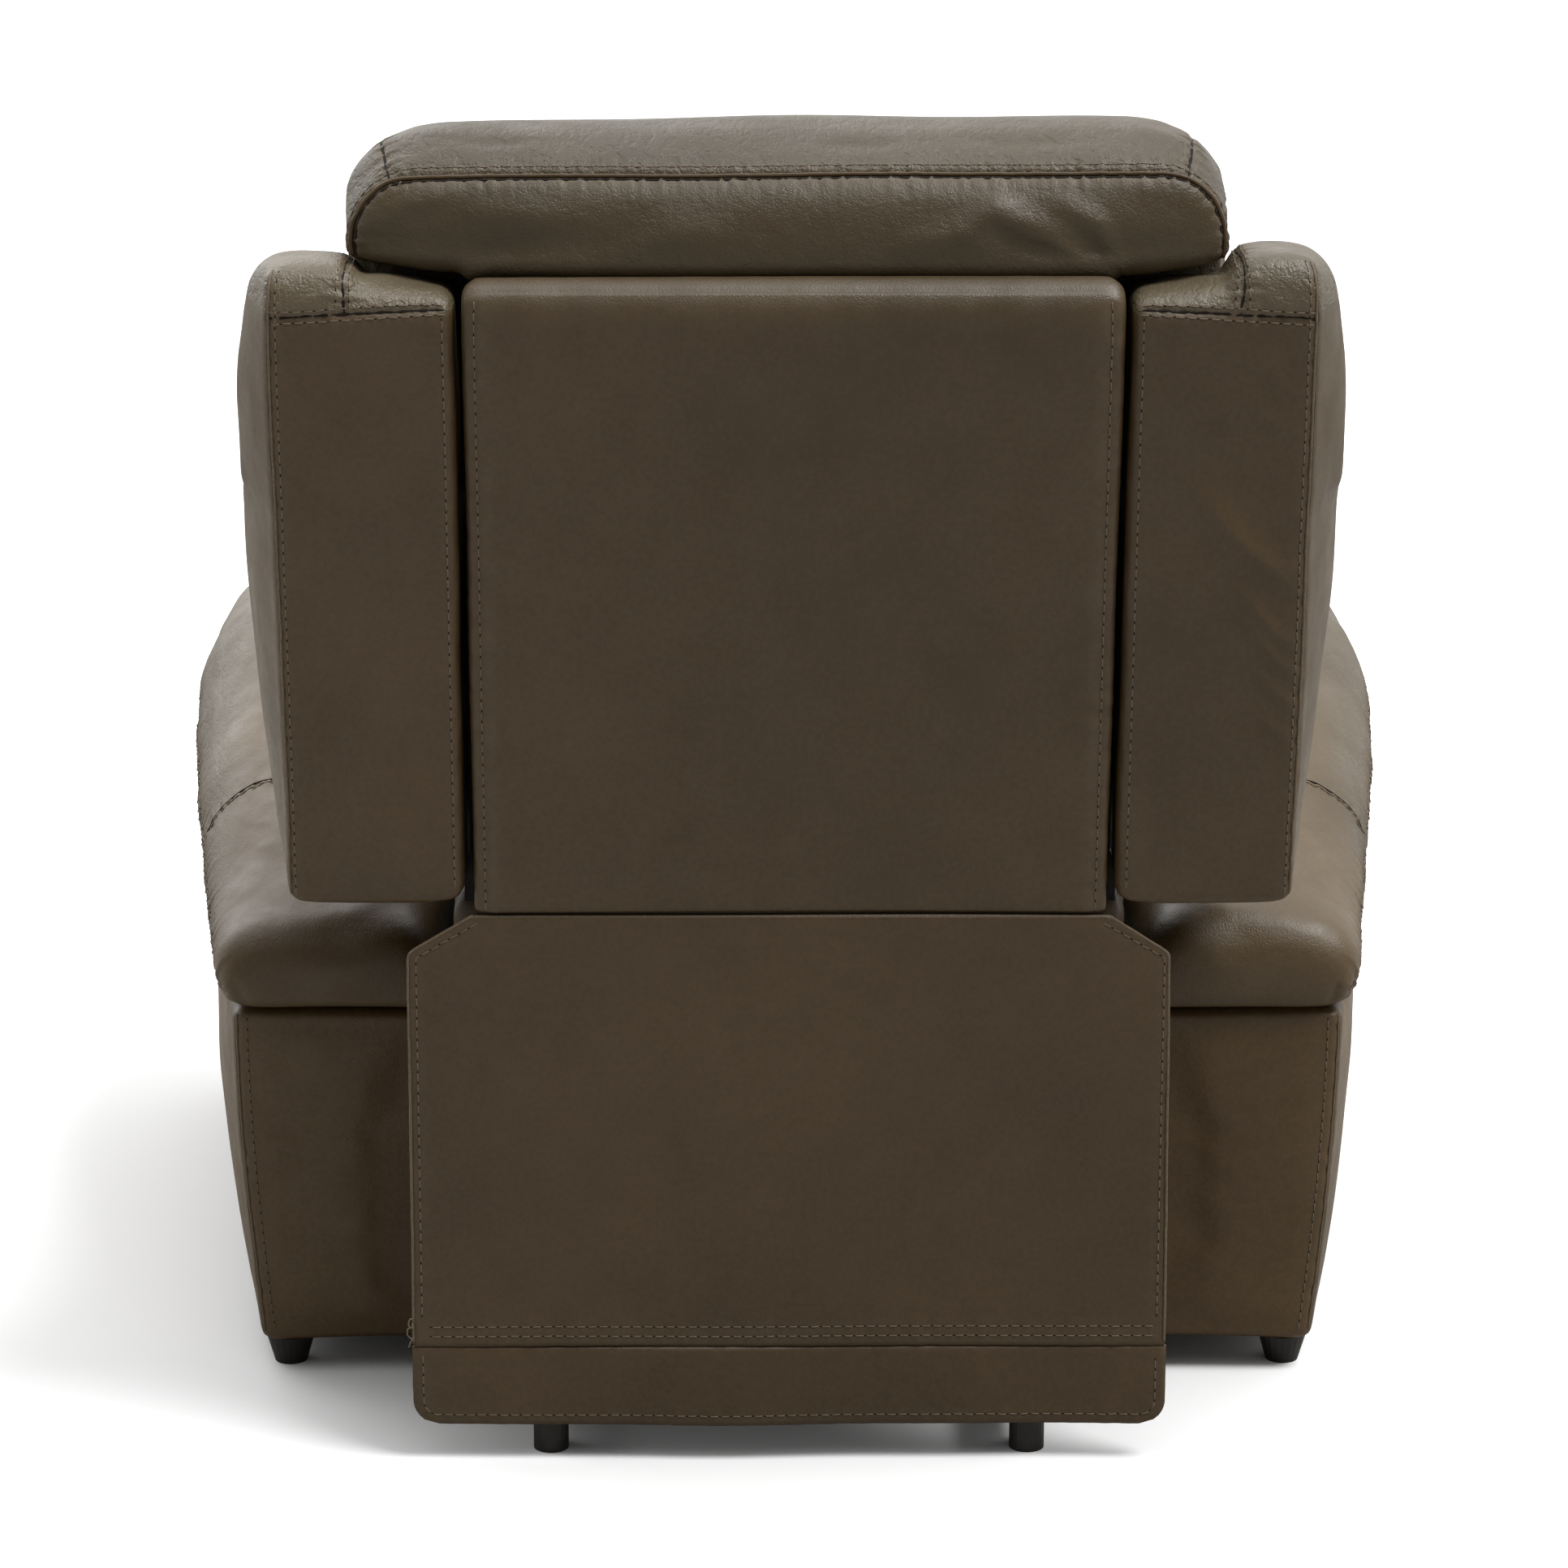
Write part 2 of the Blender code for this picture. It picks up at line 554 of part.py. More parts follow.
def back_frame(steel):
    """A bent tube round the back, with a pivot lug and pin at each foot."""
    leg_x, foot_z, top_z, radius = 0.222, 0.398, 0.930, 0.011
    run = 0.0686

    def on_plane(x, z):
        return (x, 0.4275 + (z - 0.42) * run, z)

    bend = 0.060
    corner = [(leg_x - bend + bend * cos(a), top_z - bend + bend * sin(a))
              for a in (radians(step * 22.5) for step in range(5))]
    path = [(leg_x, foot_z)] + corner
    path += [(-x, z) for x, z in reversed(path)]
    frame = tube("back_frame", [on_plane(x, z) for x, z in path], radius, steel)
    for hand, side in SIDES.items():
        lug_x = sorted(side * x for x in (0.213, 0.231))
        crown = [(RECLINE_Y - 0.012 * sin(a), RECLINE_Z - 0.012 * cos(a))
                 for a in (radians(step * 30) for step in range(7))]
        outline = crown + [(0.420, 0.414), (0.434, 0.414), (0.434, 0.392)]
        lug = plate(f"recline_lug_{hand}", outline, lug_x, None, CUTTERS)
        combine(frame, lug, "UNION")
        pin_x = sorted(side * x for x in (0.229, 0.2475))
        pin = rod(f"recline_pin_{hand}", pin_x, RECLINE_Y, RECLINE_Z, 0.006, None, CUTTERS)
        combine(frame, pin, "UNION")
    return frame


def outer_back_panel(leather):
    thickness = [(0.4525, 0.014), (0.90, 0.026), (BACK_TOP_Z, 0.032)]

    def section(z):
        rear = back_face_y(z)
        return (-PANEL_HALF, PANEL_HALF), (rear - read_off(thickness, z), rear), 0.005

    bottom_z = FLAP_TOP_Z + 0.0005
    return soft_solid("outer_back_panel", along_z(), bottom_z, BACK_TOP_Z, (0.70, 0.90), section, leather, 0.006)


def back_cushion(leather):
    front = [(0.478, 0.158), (0.60, 0.128), (0.70, 0.130), (0.735, 0.155), (0.762, 0.200), (0.786, 0.270)]

    def section(z):
        return (-PANEL_HALF, PANEL_HALF), (read_off(front, z), 0.405), 0.030

    return soft_solid("back_cushion", along_z(), 0.478, 0.786, (0.52, 0.60, 0.70, 0.735, 0.762), section,
                      leather, 0.016)


def wing(name, side, leather):
    """A side wing: deep beside the sitter, thin behind the headrest."""
    shoulder = WING_SHOULDER_Z
    front = [(WING_BOTTOM_Z, 0.195), (0.52, 0.172), (0.70, 0.170), (shoulder - 0.040, 0.185),
             (shoulder - 0.008, 0.240), (shoulder, 0.402), (WING_TOP_Z, 0.420)]
    outer = [(WING_BOTTOM_Z, 0.398), (0.60, 0.417), (0.72, WING_X[1]), (0.85, WING_X[1]), (WING_TOP_Z, 0.404)]

    def section(z):
        rear = min(back_face_y(z), 0.5235)
        return (WING_X[0], read_off(outer, z)), (read_off(front, z), rear), 0.030

    middles = (0.52, 0.60, 0.70, shoulder - 0.040, shoulder - 0.008, shoulder, 0.85, 0.92)
    return soft_solid(name, along_z(side), WING_BOTTOM_Z, WING_TOP_Z, middles, section, leather, 0.012)


# ---------------------------------------------------------------- headrest
def headrest(leather, wood):
    front = [(0.808, 0.190), (0.86, 0.168), (0.96, 0.180), (1.03, 0.210), (1.062, 0.270)]
    ledge_z = WING_TOP_Z + 0.0035
    rear = [(ledge_z - 0.003, 0.395), (ledge_z, 0.476), (1.030, 0.478), (1.062, 0.440)]
    half = [(0.808, 0.330), (0.90, 0.338), (1.00, 0.337), (1.062, 0.312)]

    def section(z):
        width = read_off(half, z)
        return (-width, width), (read_off(front, z), read_off(rear, z)), 0.025

    middles = (0.86, 0.92, ledge_z - 0.003, ledge_z, 1.00, 1.03)
    cushion = soft_solid("headrest_cushion", along_z(), 0.808, 1.062, middles, section, leather, 0.014)
    board = box("headrest_board", (-0.230, 0.3954, 0.815), (0.230, 0.4010, 0.958), wood, 0.001)
    ride("headrest_axis", (0.0, HEADREST_Y, HEADREST_Z), [cushion, board])


# ---------------------------------------------------------------- rear flap
def rear_flap(leather):
    """The hanging panel that closes the back down to the floor, and its folding hem band."""
    sheet_y = (FLAP_Y - 0.005, FLAP_Y)
    half, shoulder_z = 0.296, 0.421
    profile = [(-half, BAND_TOP_Z + MESH_GAP), (half, BAND_TOP_Z + MESH_GAP), (half, shoulder_z),
               (PANEL_HALF, FLAP_TOP_Z - MESH_GAP), (-PANEL_HALF, FLAP_TOP_Z - MESH_GAP), (-half, shoulder_z)]
    flap = sheet("rear_flap", profile, sheet_y, leather)
    band_half, corner = 0.2975, 0.020
    bottom = [(band_half - corner + corner * sin(a), BAND_BOTTOM_Z + corner - corner * cos(a))
              for a in (radians(step * 30) for step in range(4))]
    outline = bottom + [(band_half, BAND_TOP_Z - MESH_GAP)]
    outline += [(-x, z) for x, z in reversed(outline)]
    band = sheet("flap_band", outline, sheet_y, leather)
    ride("flap_axis", (0.0, FLAP_Y, FLAP_TOP_Z), [flap])
    ride("band_axis", (0.0, FLAP_Y, BAND_TOP_Z), [band])


def sheet(name, outline, y, material):
    """A flat sheet whose (x, z) outline faces the rear."""
    piece = plate(name, outline, (0.0, y[1] - y[0]), material)
    turn = Matrix.Rotation(-pi / 2, 4, "Z")
    piece.data.transform(turn)
    piece.location = (0.0, (y[0] + y[1]) / 2, 0.0)
    return piece


# ---------------------------------------------------------------- joint empties
def ride(name, place, pieces):
    """Parents the pieces to an empty on their joint's axis, leaving them where they are."""
    axis = bpy.data.objects.new(name, None)
    axis.empty_display_size = 0.04
    axis.location = place
    CHAIR.objects.link(axis)
    for piece in pieces:
        piece.parent = axis
        piece.matrix_parent_inverse = Matrix.Translation([-value for value in place])


def build():
    clear_scene()
    leather = make_material("leather", (0.060, 0.043, 0.030), 0.45)
    steel = make_material("steel", (0.05, 0.05, 0.055), 0.40, 0.9)
    black_plastic = make_material("black_plastic", (0.012, 0.012, 0.012), 0.5)
    button_plastic = make_material("button_plastic", (0.10, 0.10, 0.10), 0.35)
    cambric = make_material("cambric", (0.010, 0.010, 0.010), 0.9)
    wood = make_material("plywood", (0.45, 0.30, 0.17), 0.6)
    floor_base(steel, black_plastic)
    for hand, side in SIDES.items():
        arm(hand, side, leather, cambric, black_plastic)
    control_panel(black_plastic, button_plastic)
    seat_carriage(steel, leather, black_plastic)
    footrest_links(steel, leather, wood)
    back(steel, leather)
    headrest(leather, wood)
    rear_flap(leather)


build()
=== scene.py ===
"""Looks of the power recliner armchair: leather upholstery, stitching, metalwork and studio.

Metres, +Z up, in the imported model's frame. The sitter faces -Y, and the sitter's left is +X.
"""

from math import cos, pi, radians, sin

import bpy
import numpy as np
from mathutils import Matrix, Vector
from mathutils.bvhtree import BVHTree
from mathutils.kdtree import KDTree


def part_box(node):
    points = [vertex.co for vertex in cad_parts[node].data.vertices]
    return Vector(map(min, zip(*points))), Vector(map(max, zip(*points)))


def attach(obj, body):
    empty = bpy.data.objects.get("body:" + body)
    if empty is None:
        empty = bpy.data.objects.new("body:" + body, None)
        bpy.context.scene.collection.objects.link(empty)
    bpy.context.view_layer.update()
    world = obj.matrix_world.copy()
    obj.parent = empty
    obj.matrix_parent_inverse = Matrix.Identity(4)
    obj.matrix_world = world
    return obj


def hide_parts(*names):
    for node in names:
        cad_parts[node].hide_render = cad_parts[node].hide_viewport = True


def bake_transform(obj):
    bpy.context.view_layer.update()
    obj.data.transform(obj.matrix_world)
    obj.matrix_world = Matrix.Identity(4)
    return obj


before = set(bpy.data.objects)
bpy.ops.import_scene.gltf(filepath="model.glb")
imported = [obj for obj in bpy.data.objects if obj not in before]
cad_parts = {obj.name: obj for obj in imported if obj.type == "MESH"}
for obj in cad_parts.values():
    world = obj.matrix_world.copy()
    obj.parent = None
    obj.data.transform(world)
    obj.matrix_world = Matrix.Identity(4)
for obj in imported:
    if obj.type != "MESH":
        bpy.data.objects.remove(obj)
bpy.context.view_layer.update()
scene = bpy.context.scene
HANDS = {"left": 1, "right": -1}


# ---------------------------------------------------------------- camera, light and floor
def studio():
    camera = bpy.data.objects.new("camera", bpy.data.cameras.new("camera"))
    camera.location = (0.0386, 4.1771, 1.5633)
    camera.rotation_euler = (radians(74.85), radians(-0.12), radians(179.52))
    camera.data.lens = 115.5
    camera.data.sensor_width = 36.0
    scene.collection.objects.link(camera)
    scene.camera = camera
    scene.view_settings.view_transform = "Standard"

    sun = bpy.data.objects.new("key_light", bpy.data.lights.new("key_light", "SUN"))
    sun.data.energy = 2.6
    sun.data.angle = radians(24)
    toward = Vector((0.50, -0.20, -1.0))
    sun.rotation_euler = toward.to_track_quat("-Z", "Y").to_euler()
    scene.collection.objects.link(sun)

    world = bpy.data.worlds.new("studio")
    scene.world = world
    world.use_nodes = True
    nodes, links = world.node_tree.nodes, world.node_tree.links
    nodes.clear()
    direction = nodes.new("ShaderNodeTexCoord")
    parts = nodes.new("ShaderNodeSeparateXYZ")
    links.new(direction.outputs["Generated"], parts.inputs[0])

    def ramp(source, low, high, strength):
        step = nodes.new("ShaderNodeMapRange")
        step.interpolation_type = "SMOOTHSTEP"
        step.inputs["From Min"].default_value = low
        step.inputs["From Max"].default_value = high
        step.inputs["To Max"].default_value = strength
        links.new(source, step.inputs["Value"])
        return step.outputs["Result"]

    def total(first, second):
        step = nodes.new("ShaderNodeMath")
        links.new(first, step.inputs[0])
        if isinstance(second, float):
            step.inputs[1].default_value = second
        else:
            links.new(second, step.inputs[1])
        return step.outputs[0]

    def facing(way, low, high, strength):
        """A round glow about one direction; low and high are cosines."""
        step = nodes.new("ShaderNodeVectorMath")
        step.operation = "DOT_PRODUCT"
        step.inputs[1].default_value = Vector(way).normalized()
        links.new(direction.outputs["Generated"], step.inputs[0])
        return ramp(step.outputs["Value"], low, high, strength)

    above = facing((0.0, 0.10, 1.0), 0.70, 0.97, 1.5)
    front_box = facing((0.45, -0.68, 0.60), 0.84, 0.97, 2.2)
    ahead = ramp(parts.outputs["Y"], 0.45, -0.45, 1.25)
    level = total(total(total(above, ahead), front_box), 0.24)
    softbox = nodes.new("ShaderNodeBackground")
    links.new(level, softbox.inputs["Strength"])
    white = nodes.new("ShaderNodeBackground")
    white.inputs["Color"].default_value = (1, 1, 1, 1)
    seen = nodes.new("ShaderNodeLightPath")
    mix = nodes.new("ShaderNodeMixShader")
    out = nodes.new("ShaderNodeOutputWorld")
    links.new(seen.outputs["Is Camera Ray"], mix.inputs[0])
    links.new(softbox.outputs[0], mix.inputs[1])
    links.new(white.outputs[0], mix.inputs[2])
    links.new(mix.outputs[0], out.inputs[0])

    mesh = bpy.data.meshes.new("floor")
    half = 40.0
    corners = [(-half, -half, 0), (half, -half, 0), (half, half, 0), (-half, half, 0)]
    mesh.from_pydata(corners, [], [(0, 1, 2, 3)])
    floor = bpy.data.objects.new("floor", mesh)
    scene.collection.objects.link(floor)
    mesh.materials.append(floor_paint())


def floor_paint():
    """White where it is looked at, and greyer in what it throws back on the chair."""
    paint = bpy.data.materials.new("floor_paint")
    paint.use_nodes = True
    nodes, links = paint.node_tree.nodes, paint.node_tree.links
    nodes.clear()
    shown, thrown = nodes.new("ShaderNodeBsdfDiffuse"), nodes.new("ShaderNodeBsdfDiffuse")
    shown.inputs["Color"].default_value = (0.88, 0.88, 0.88, 1)
    thrown.inputs["Color"].default_value = (0.36, 0.34, 0.31, 1)
    seen, mix = nodes.new("ShaderNodeLightPath"), nodes.new("ShaderNodeMixShader")
    out = nodes.new("ShaderNodeOutputMaterial")
    links.new(seen.outputs["Is Camera Ray"], mix.inputs[0])
    links.new(thrown.outputs[0], mix.inputs[1])
    links.new(shown.outputs[0], mix.inputs[2])
    links.new(mix.outputs[0], out.inputs[0])
    return paint


# ---------------------------------------------------------------- materials
class Finish:
    """A Principled material that is put together node by node."""

    def __init__(self, name, roughness, metallic=0.0):
        self.material = bpy.data.materials.new(name)
        self.material.use_nodes = True
        self.nodes = self.material.node_tree.nodes
        self.links = self.material.node_tree.links
        self.shader = self.nodes["Principled BSDF"]
        self.shader.inputs["Roughness"].default_value = roughness
        self.shader.inputs["Metallic"].default_value = metallic
        self.place = self.nodes.new("ShaderNodeTexCoord").outputs["Object"]
        self.height = None

    def join(self, source, socket):
        self.links.new(source, socket)

    def noise(self, scale, detail=3.0, rough=0.55, stretch=None):
        made = self.nodes.new("ShaderNodeTexNoise")
        made.inputs["Scale"].default_value = scale
        made.inputs["Detail"].default_value = detail
        made.inputs["Roughness"].default_value = rough
        self.join(self.stretched(stretch) if stretch else self.place, made.inputs["Vector"])
        return made.outputs["Fac"]

    def stretched(self, stretch):
        made = self.nodes.new("ShaderNodeMapping")
        made.inputs["Scale"].default_value = stretch
        self.join(self.place, made.inputs["Vector"])
        return made.outputs[0]

    def cells(self, scale, feature="SMOOTH_F1", smooth=0.35):
        made = self.nodes.new("ShaderNodeTexVoronoi")
        made.feature = feature
        made.inputs["Scale"].default_value = scale
        if feature == "SMOOTH_F1":
            made.inputs["Smoothness"].default_value = smooth
        warp = self.nodes.new("ShaderNodeTexNoise")
        warp.inputs["Scale"].default_value = scale * 0.35
        self.join(self.place, warp.inputs["Vector"])
        shift = self.nodes.new("ShaderNodeMix")
        shift.data_type = "VECTOR"
        shift.inputs["Factor"].default_value = 0.0012
        self.join(self.place, shift.inputs[4])
        self.join(warp.outputs["Color"], shift.inputs[5])
        self.join(shift.outputs[1], made.inputs["Vector"])
        return made.outputs["Distance"]

    def attribute(self, name):
        made = self.nodes.new("ShaderNodeAttribute")
        made.attribute_name = name
        return made.outputs["Fac"]

    def span(self, source, low, high, out_low, out_high):
        made = self.nodes.new("ShaderNodeMapRange")
        for socket, value in zip(("From Min", "From Max", "To Min", "To Max"), (low, high, out_low, out_high)):
            made.inputs[socket].default_value = value
        self.join(source, made.inputs["Value"])
        return made.outputs["Result"]

    def maths(self, operation, first, second):
        made = self.nodes.new("ShaderNodeMath")
        made.operation = operation
        for socket, value in zip(made.inputs, (first, second)):
            if isinstance(value, (int, float)):
                socket.default_value = value
            else:
                self.join(value, socket)
        return made.outputs[0]

    def blend(self, share, first, second, mode="MIX"):
        made = self.nodes.new("ShaderNodeMix")
        made.data_type = "RGBA"
        made.blend_type = mode
        for socket, value in ((made.inputs[0], share), (made.inputs[6], first), (made.inputs[7], second)):
            if isinstance(value, float):
                socket.default_value = value
            elif isinstance(value, tuple):
                socket.default_value = (*value, 1.0)
            else:
                self.join(value, socket)
        return made.outputs[2]

    def colour(self, source):
        self.join(source, self.shader.inputs["Base Color"])

    def rough(self, source):
        self.join(source, self.shader.inputs["Roughness"])

    def bump(self, source, distance, strength=1.0):
        made = self.nodes.new("ShaderNodeBump")
        made.inputs["Distance"].default_value = distance
        made.inputs["Strength"].default_value = strength
        self.join(source, made.inputs["Height"])
        if self.height:
            self.join(self.height, made.inputs["Normal"])
        self.height = made.outputs[0]
        self.join(self.height, self.shader.inputs["Normal"])


def leather_finish(name, gain=1.0, gloss=0.55, highlight_gain=1.45):
    """Pigmented leather: mottled brown and pebbled; a paler, smoother highlight colour is painted light on tops
    and outward sides.
    """
    f = Finish(name, 0.46)
    f.shader.inputs["Specular IOR Level"].default_value = gloss
    clouds = f.span(f.noise(5.0, 4.0, 0.6), 0.30, 0.72, 0.0, 1.0)
    dark_brown, brown = (0.048, 0.0270, 0.0075), (0.070, 0.0415, 0.0135)
    base = f.blend(clouds, tuple(gain * c for c in dark_brown), tuple(gain * c for c in brown))
    specks = f.span(f.noise(240.0, 2.0), 0.35, 0.65, 0.88, 1.10)
    base = f.blend(1.0, base, specks, "MULTIPLY")
    # painted light: tops and outward sides get a paler, greyer highlight colour where light falls on them; the
    # same share makes them smoother and more creased
    painted_light_share = f.attribute("painted_light_share")
    # the two colours of the painted highlight
    dark_olive, pale_olive = (0.050, 0.038, 0.020), (0.080, 0.063, 0.038)
    painted_olive = f.blend(clouds, tuple(highlight_gain * c for c in dark_olive), tuple(highlight_gain * c for c in pale_olive))
    base = f.blend(painted_light_share, base, painted_olive)
    # paler in patches along the raised leather beside the seams
    paler_beside_seams = f.maths("MULTIPLY", f.attribute("paler_beside_seams"), f.span(f.noise(70.0, 3.0), 0.35, 0.70, 0.15, 0.75))
    base = f.blend(paler_beside_seams, base, (0.105, 0.076, 0.046))
    f.colour(base)
    patches = f.span(f.noise(26.0, 4.0, 0.65), 0.30, 0.70, 0.40, 0.56)
    f.rough(f.maths("SUBTRACT", patches, f.maths("MULTIPLY", painted_light_share, 0.03)))
    grain = f.maths("ADD", 0.55, f.maths("MULTIPLY", painted_light_share, 0.75))
    pebbles = f.span(f.cells(620.0), 0.0, 0.55, 0.0, 1.0)
    f.bump(f.maths("MULTIPLY", pebbles, grain), 0.00022, 0.85)
    f.bump(f.noise(2100.0, 2.0), 0.00006, 0.7)
    f.bump(f.noise(60.0, 5.0, 0.6), 0.0009, 0.35)
    lines = f.noise(75.0, 3.0, 0.6, stretch=(1.0, 0.6, 1.0))
    creases = f.maths("ABSOLUTE", f.maths("SUBTRACT", lines, 0.5), 0.0)
    creases = f.span(creases, 0.0, 0.09, 0.0, 1.0)
    f.bump(f.maths("MULTIPLY", creases, f.maths("POWER", painted_light_share, 3.0)), 0.0008, 0.6)
    return f.material


def shade_finish():
    """Painted shade: the dark of the slit between two sewn panels, and of the needle holes."""
    f = Finish("seam_shade", 0.75)
    f.shader.inputs["Specular IOR Level"].default_value = 0.2
    f.colour(f.blend(f.noise(300.0, 2.0), (0.006, 0.004, 0.003), (0.016, 0.011, 0.007)))
    return f.material


def thread_finish():
    f = Finish("thread_finish", 0.60)
    f.shader.inputs["Sheen Weight"].default_value = 0.25
    twist = f.span(f.noise(900.0, 1.0), 0.3, 0.7, 0.7, 1.15)
    f.colour(f.blend(1.0, (0.140, 0.096, 0.054), twist, "MULTIPLY"))
    f.bump(f.noise(1500.0, 1.0), 0.0002, 0.6)
    return f.material


def edge_finish():
    """The raw, pared edge of a leather panel."""
    f = Finish("edge_finish", 0.55)
    fibres = f.span(f.noise(420.0, 3.0), 0.3, 0.7, 0.0, 1.0)
    f.colour(f.blend(fibres, (0.095, 0.066, 0.038), (0.155, 0.115, 0.072)))
    f.bump(f.noise(900.0, 2.0), 0.0002, 0.7)
    return f.material


def steel_finish(name, dark, light, roughness, metallic):
    f = Finish(name, roughness, metallic)
    smears = f.span(f.noise(18.0, 5.0, 0.7), 0.35, 0.7, 0.0, 1.0)
    f.colour(f.blend(smears, dark, light))
    f.rough(f.span(f.noise(55.0, 4.0), 0.3, 0.7, roughness - 0.08, roughness + 0.12))
    f.bump(f.noise(450.0, 3.0), 0.0002, 0.35)
    return f.material


def plastic_finish(name, colour, roughness):
    f = Finish(name, roughness)
    haze = f.span(f.noise(30.0, 4.0), 0.3, 0.7, 0.85, 1.2)
    f.colour(f.blend(1.0, colour, haze, "MULTIPLY"))
    f.rough(f.span(f.noise(90.0, 3.0), 0.3, 0.7, roughness - 0.06, roughness + 0.08))
    f.bump(f.noise(1300.0, 2.0), 0.00012, 0.6)
    return f.material


def plywood_finish():
    f = Finish("plywood_finish", 0.62)
    rings = f.noise(9.0, 6.0, 0.6, stretch=(0.6, 5.0, 7.0))
    f.colour(f.blend(f.span(rings, 0.35, 0.65, 0.0, 1.0), (0.36, 0.22, 0.11), (0.62, 0.44, 0.25)))
    pores = f.noise(160.0, 4.0, 0.6, stretch=(0.15, 1.0, 1.0))
    f.rough(f.span(pores, 0.3, 0.7, 0.5, 0.75))
    f.bump(pores, 0.0004, 0.5)
    return f.material


def cambric_finish():
    """Black spun-bonded dust cloth with its pattern of weld dots."""
    f = Finish("cambric_finish", 0.85)
    fibres = f.noise(520.0, 5.0, 0.7)
    f.colour(f.blend(f.span(fibres, 0.35, 0.65, 0.0, 1.0), (0.006, 0.006, 0.006), (0.030, 0.030, 0.030)))
    f.shader.inputs["Sheen Weight"].default_value = 0.2
    f.bump(f.cells(420.0, "F1"), 0.0003, 0.7)
    f.bump(fibres, 0.0003, 0.6)
    return f.material


# ---------------------------------------------------------------- shape arithmetic
def read(table, at):
    """A smooth curve through (position, value) pairs that never overshoots them."""
    xs, ys = (np.array(column, float) for column in zip(*table))
    secant = np.diff(ys) / np.diff(xs)
    slope = np.empty(len(xs))
    slope[0], slope[-1] = secant[0], secant[-1]
    for i in range(1, len(xs) - 1):
        before, after = secant[i - 1], secant[i]
        slope[i] = 2 * before * after / (before + after) if before * after > 0 else 0.0
    i = int(np.clip(np.searchsorted(xs, at) - 1, 0, len(xs) - 2))
    run = xs[i + 1] - xs[i]
    t = float(np.clip((at - xs[i]) / run, 0.0, 1.0))
    return ((2 * t ** 3 - 3 * t ** 2 + 1) * ys[i] + (t ** 3 - 2 * t ** 2 + t) * run * slope[i]
            + (3 * t ** 2 - 2 * t ** 3) * ys[i + 1] + (t ** 3 - t ** 2) * run * slope[i + 1])


def drawn_in(at, end, radius):
    """How far a surface is drawn in beside a rounded end."""
    room = min(abs(end - at), radius)
    return radius - (radius ** 2 - (radius - room) ** 2) ** 0.5


def fillet(corners, steps=6):
    """A closed outline of (a, b, radius) corners, each rounded to its own radius."""
    outline = []
    for i, (a, b, radius) in enumerate(corners):
        here = np.array((a, b))
        ends, ways = [], []
        for c, d, next_radius in (corners[i - 1], corners[(i + 1) % len(corners)]):
            away = np.array((c, d)) - here
            length = max(np.linalg.norm(away), 1e-6)
            share = radius / max(radius + next_radius, 1e-9)
            ways.append(away / length)
            ends.append(here + ways[-1] * min(radius, 0.97 * length * share))
        pull = ((1 - np.clip(ways[0] @ ways[1], -1, 1)) / 2) ** 0.5
        for step in range(steps + 1):
            t = step / steps
            weights = np.array(((1 - t) ** 2, 2 * pull * t * (1 - t), t ** 2))
            outline.append((weights[0] * ends[0] + weights[1] * here + weights[2] * ends[1]) / weights.sum())
    return outline


def stations(start, end, near=0.036, step=0.014, near_steps=7):
    """Positions from start to end, close together near both ends."""
    curve = [near * (1 - cos(pi / 2 * i / near_steps)) for i in range(near_steps + 1)]
    middle = np.linspace(start + near, end - near, max(3, int((end - start - 2 * near) / step)))
    return [start + c for c in curve] + list(middle[1:-1]) + [end - c for c in reversed(curve)]


def shifted(line, dx=0.0, dy=0.0, dz=0.0):
    return [(x + dx, y + dy, z + dz) for x, y, z in line]


def across(half, count, y, z):
    """A level line from one side to the other."""
    return [(x, y, z) for x in np.linspace(-half, half, count)]


def on(piece, lines):
    return [(line, piece) for line in lines]


def level_ring(outline, z, side=1):
    return [(side * a, b, z) for a, b in outline]


def upright_ring(outline, y, side=1):
    return [(side * a, y, b) for a, b in outline]


def gathers(lines, *sizes):
    """The same groove or gather along several lines."""
    return [(line, *sizes) for line in lines]


def spaced(points, step):
    """The same line with its points about step apart."""
    points = np.asarray(points, float)
    reach = np.concatenate(([0.0], np.cumsum(np.linalg.norm(np.diff(points, axis=0), axis=1))))
    at = np.linspace(0.0, reach[-1], max(3, int(round(reach[-1] / step)) + 1))
    return np.stack([np.interp(at, reach, points[:, i]) for i in range(3)], axis=1)


LOOK = 0.07                  # a seam or fold changes nothing further away than this


def nearest(points, line):
    """Each point's distance to a line, how far along the line that is, and the line's length."""
    line = spaced(line, 0.003).astype(np.float32)
    reach = np.concatenate(([0.0], np.cumsum(np.linalg.norm(np.diff(line, axis=0), axis=1))))
    gap = np.full(len(points), 1.0)
    along = np.zeros(len(points))
    near = np.all((points > line.min(axis=0) - LOOK) & (points < line.max(axis=0) + LOOK), axis=1)
    chosen = np.flatnonzero(near)
    for first in range(0, len(chosen), 6000):
        block = chosen[first:first + 6000]
        here = points[block].astype(np.float32)
        squares = (here ** 2).sum(axis=1)[:, None] - 2 * here @ line.T + (line ** 2).sum(axis=1)[None, :]
        which = squares.argmin(axis=1)
        gap[block] = np.linalg.norm(here - line[which], axis=1)
        along[block] = reach[which]
    return gap, along, float(reach[-1])


WAVES = np.random.default_rng(7).normal(size=(9, 3))


def swell(points, size):
    """A smooth, irregular field from about -1 to 1 with hills about size across."""
    total = np.zeros(len(points))
    for number, wave in enumerate(WAVES):
        way = wave / np.linalg.norm(wave) * (0.75 + 0.5 * (number % 3)) * pi / size
        total += np.sin(points @ way + number * 1.7)
    return total / 4.0


# ---------------------------------------------------------------- meshes
def new_piece(name, vertices, faces, material):
    mesh = bpy.data.meshes.new(name)
    mesh.from_pydata([tuple(v) for v in vertices], [], faces)
    mesh.update()
    piece = bpy.data.objects.new(name, mesh)
    scene.collection.objects.link(piece)
    mesh.materials.append(material)
    mesh.shade_smooth()
    return piece


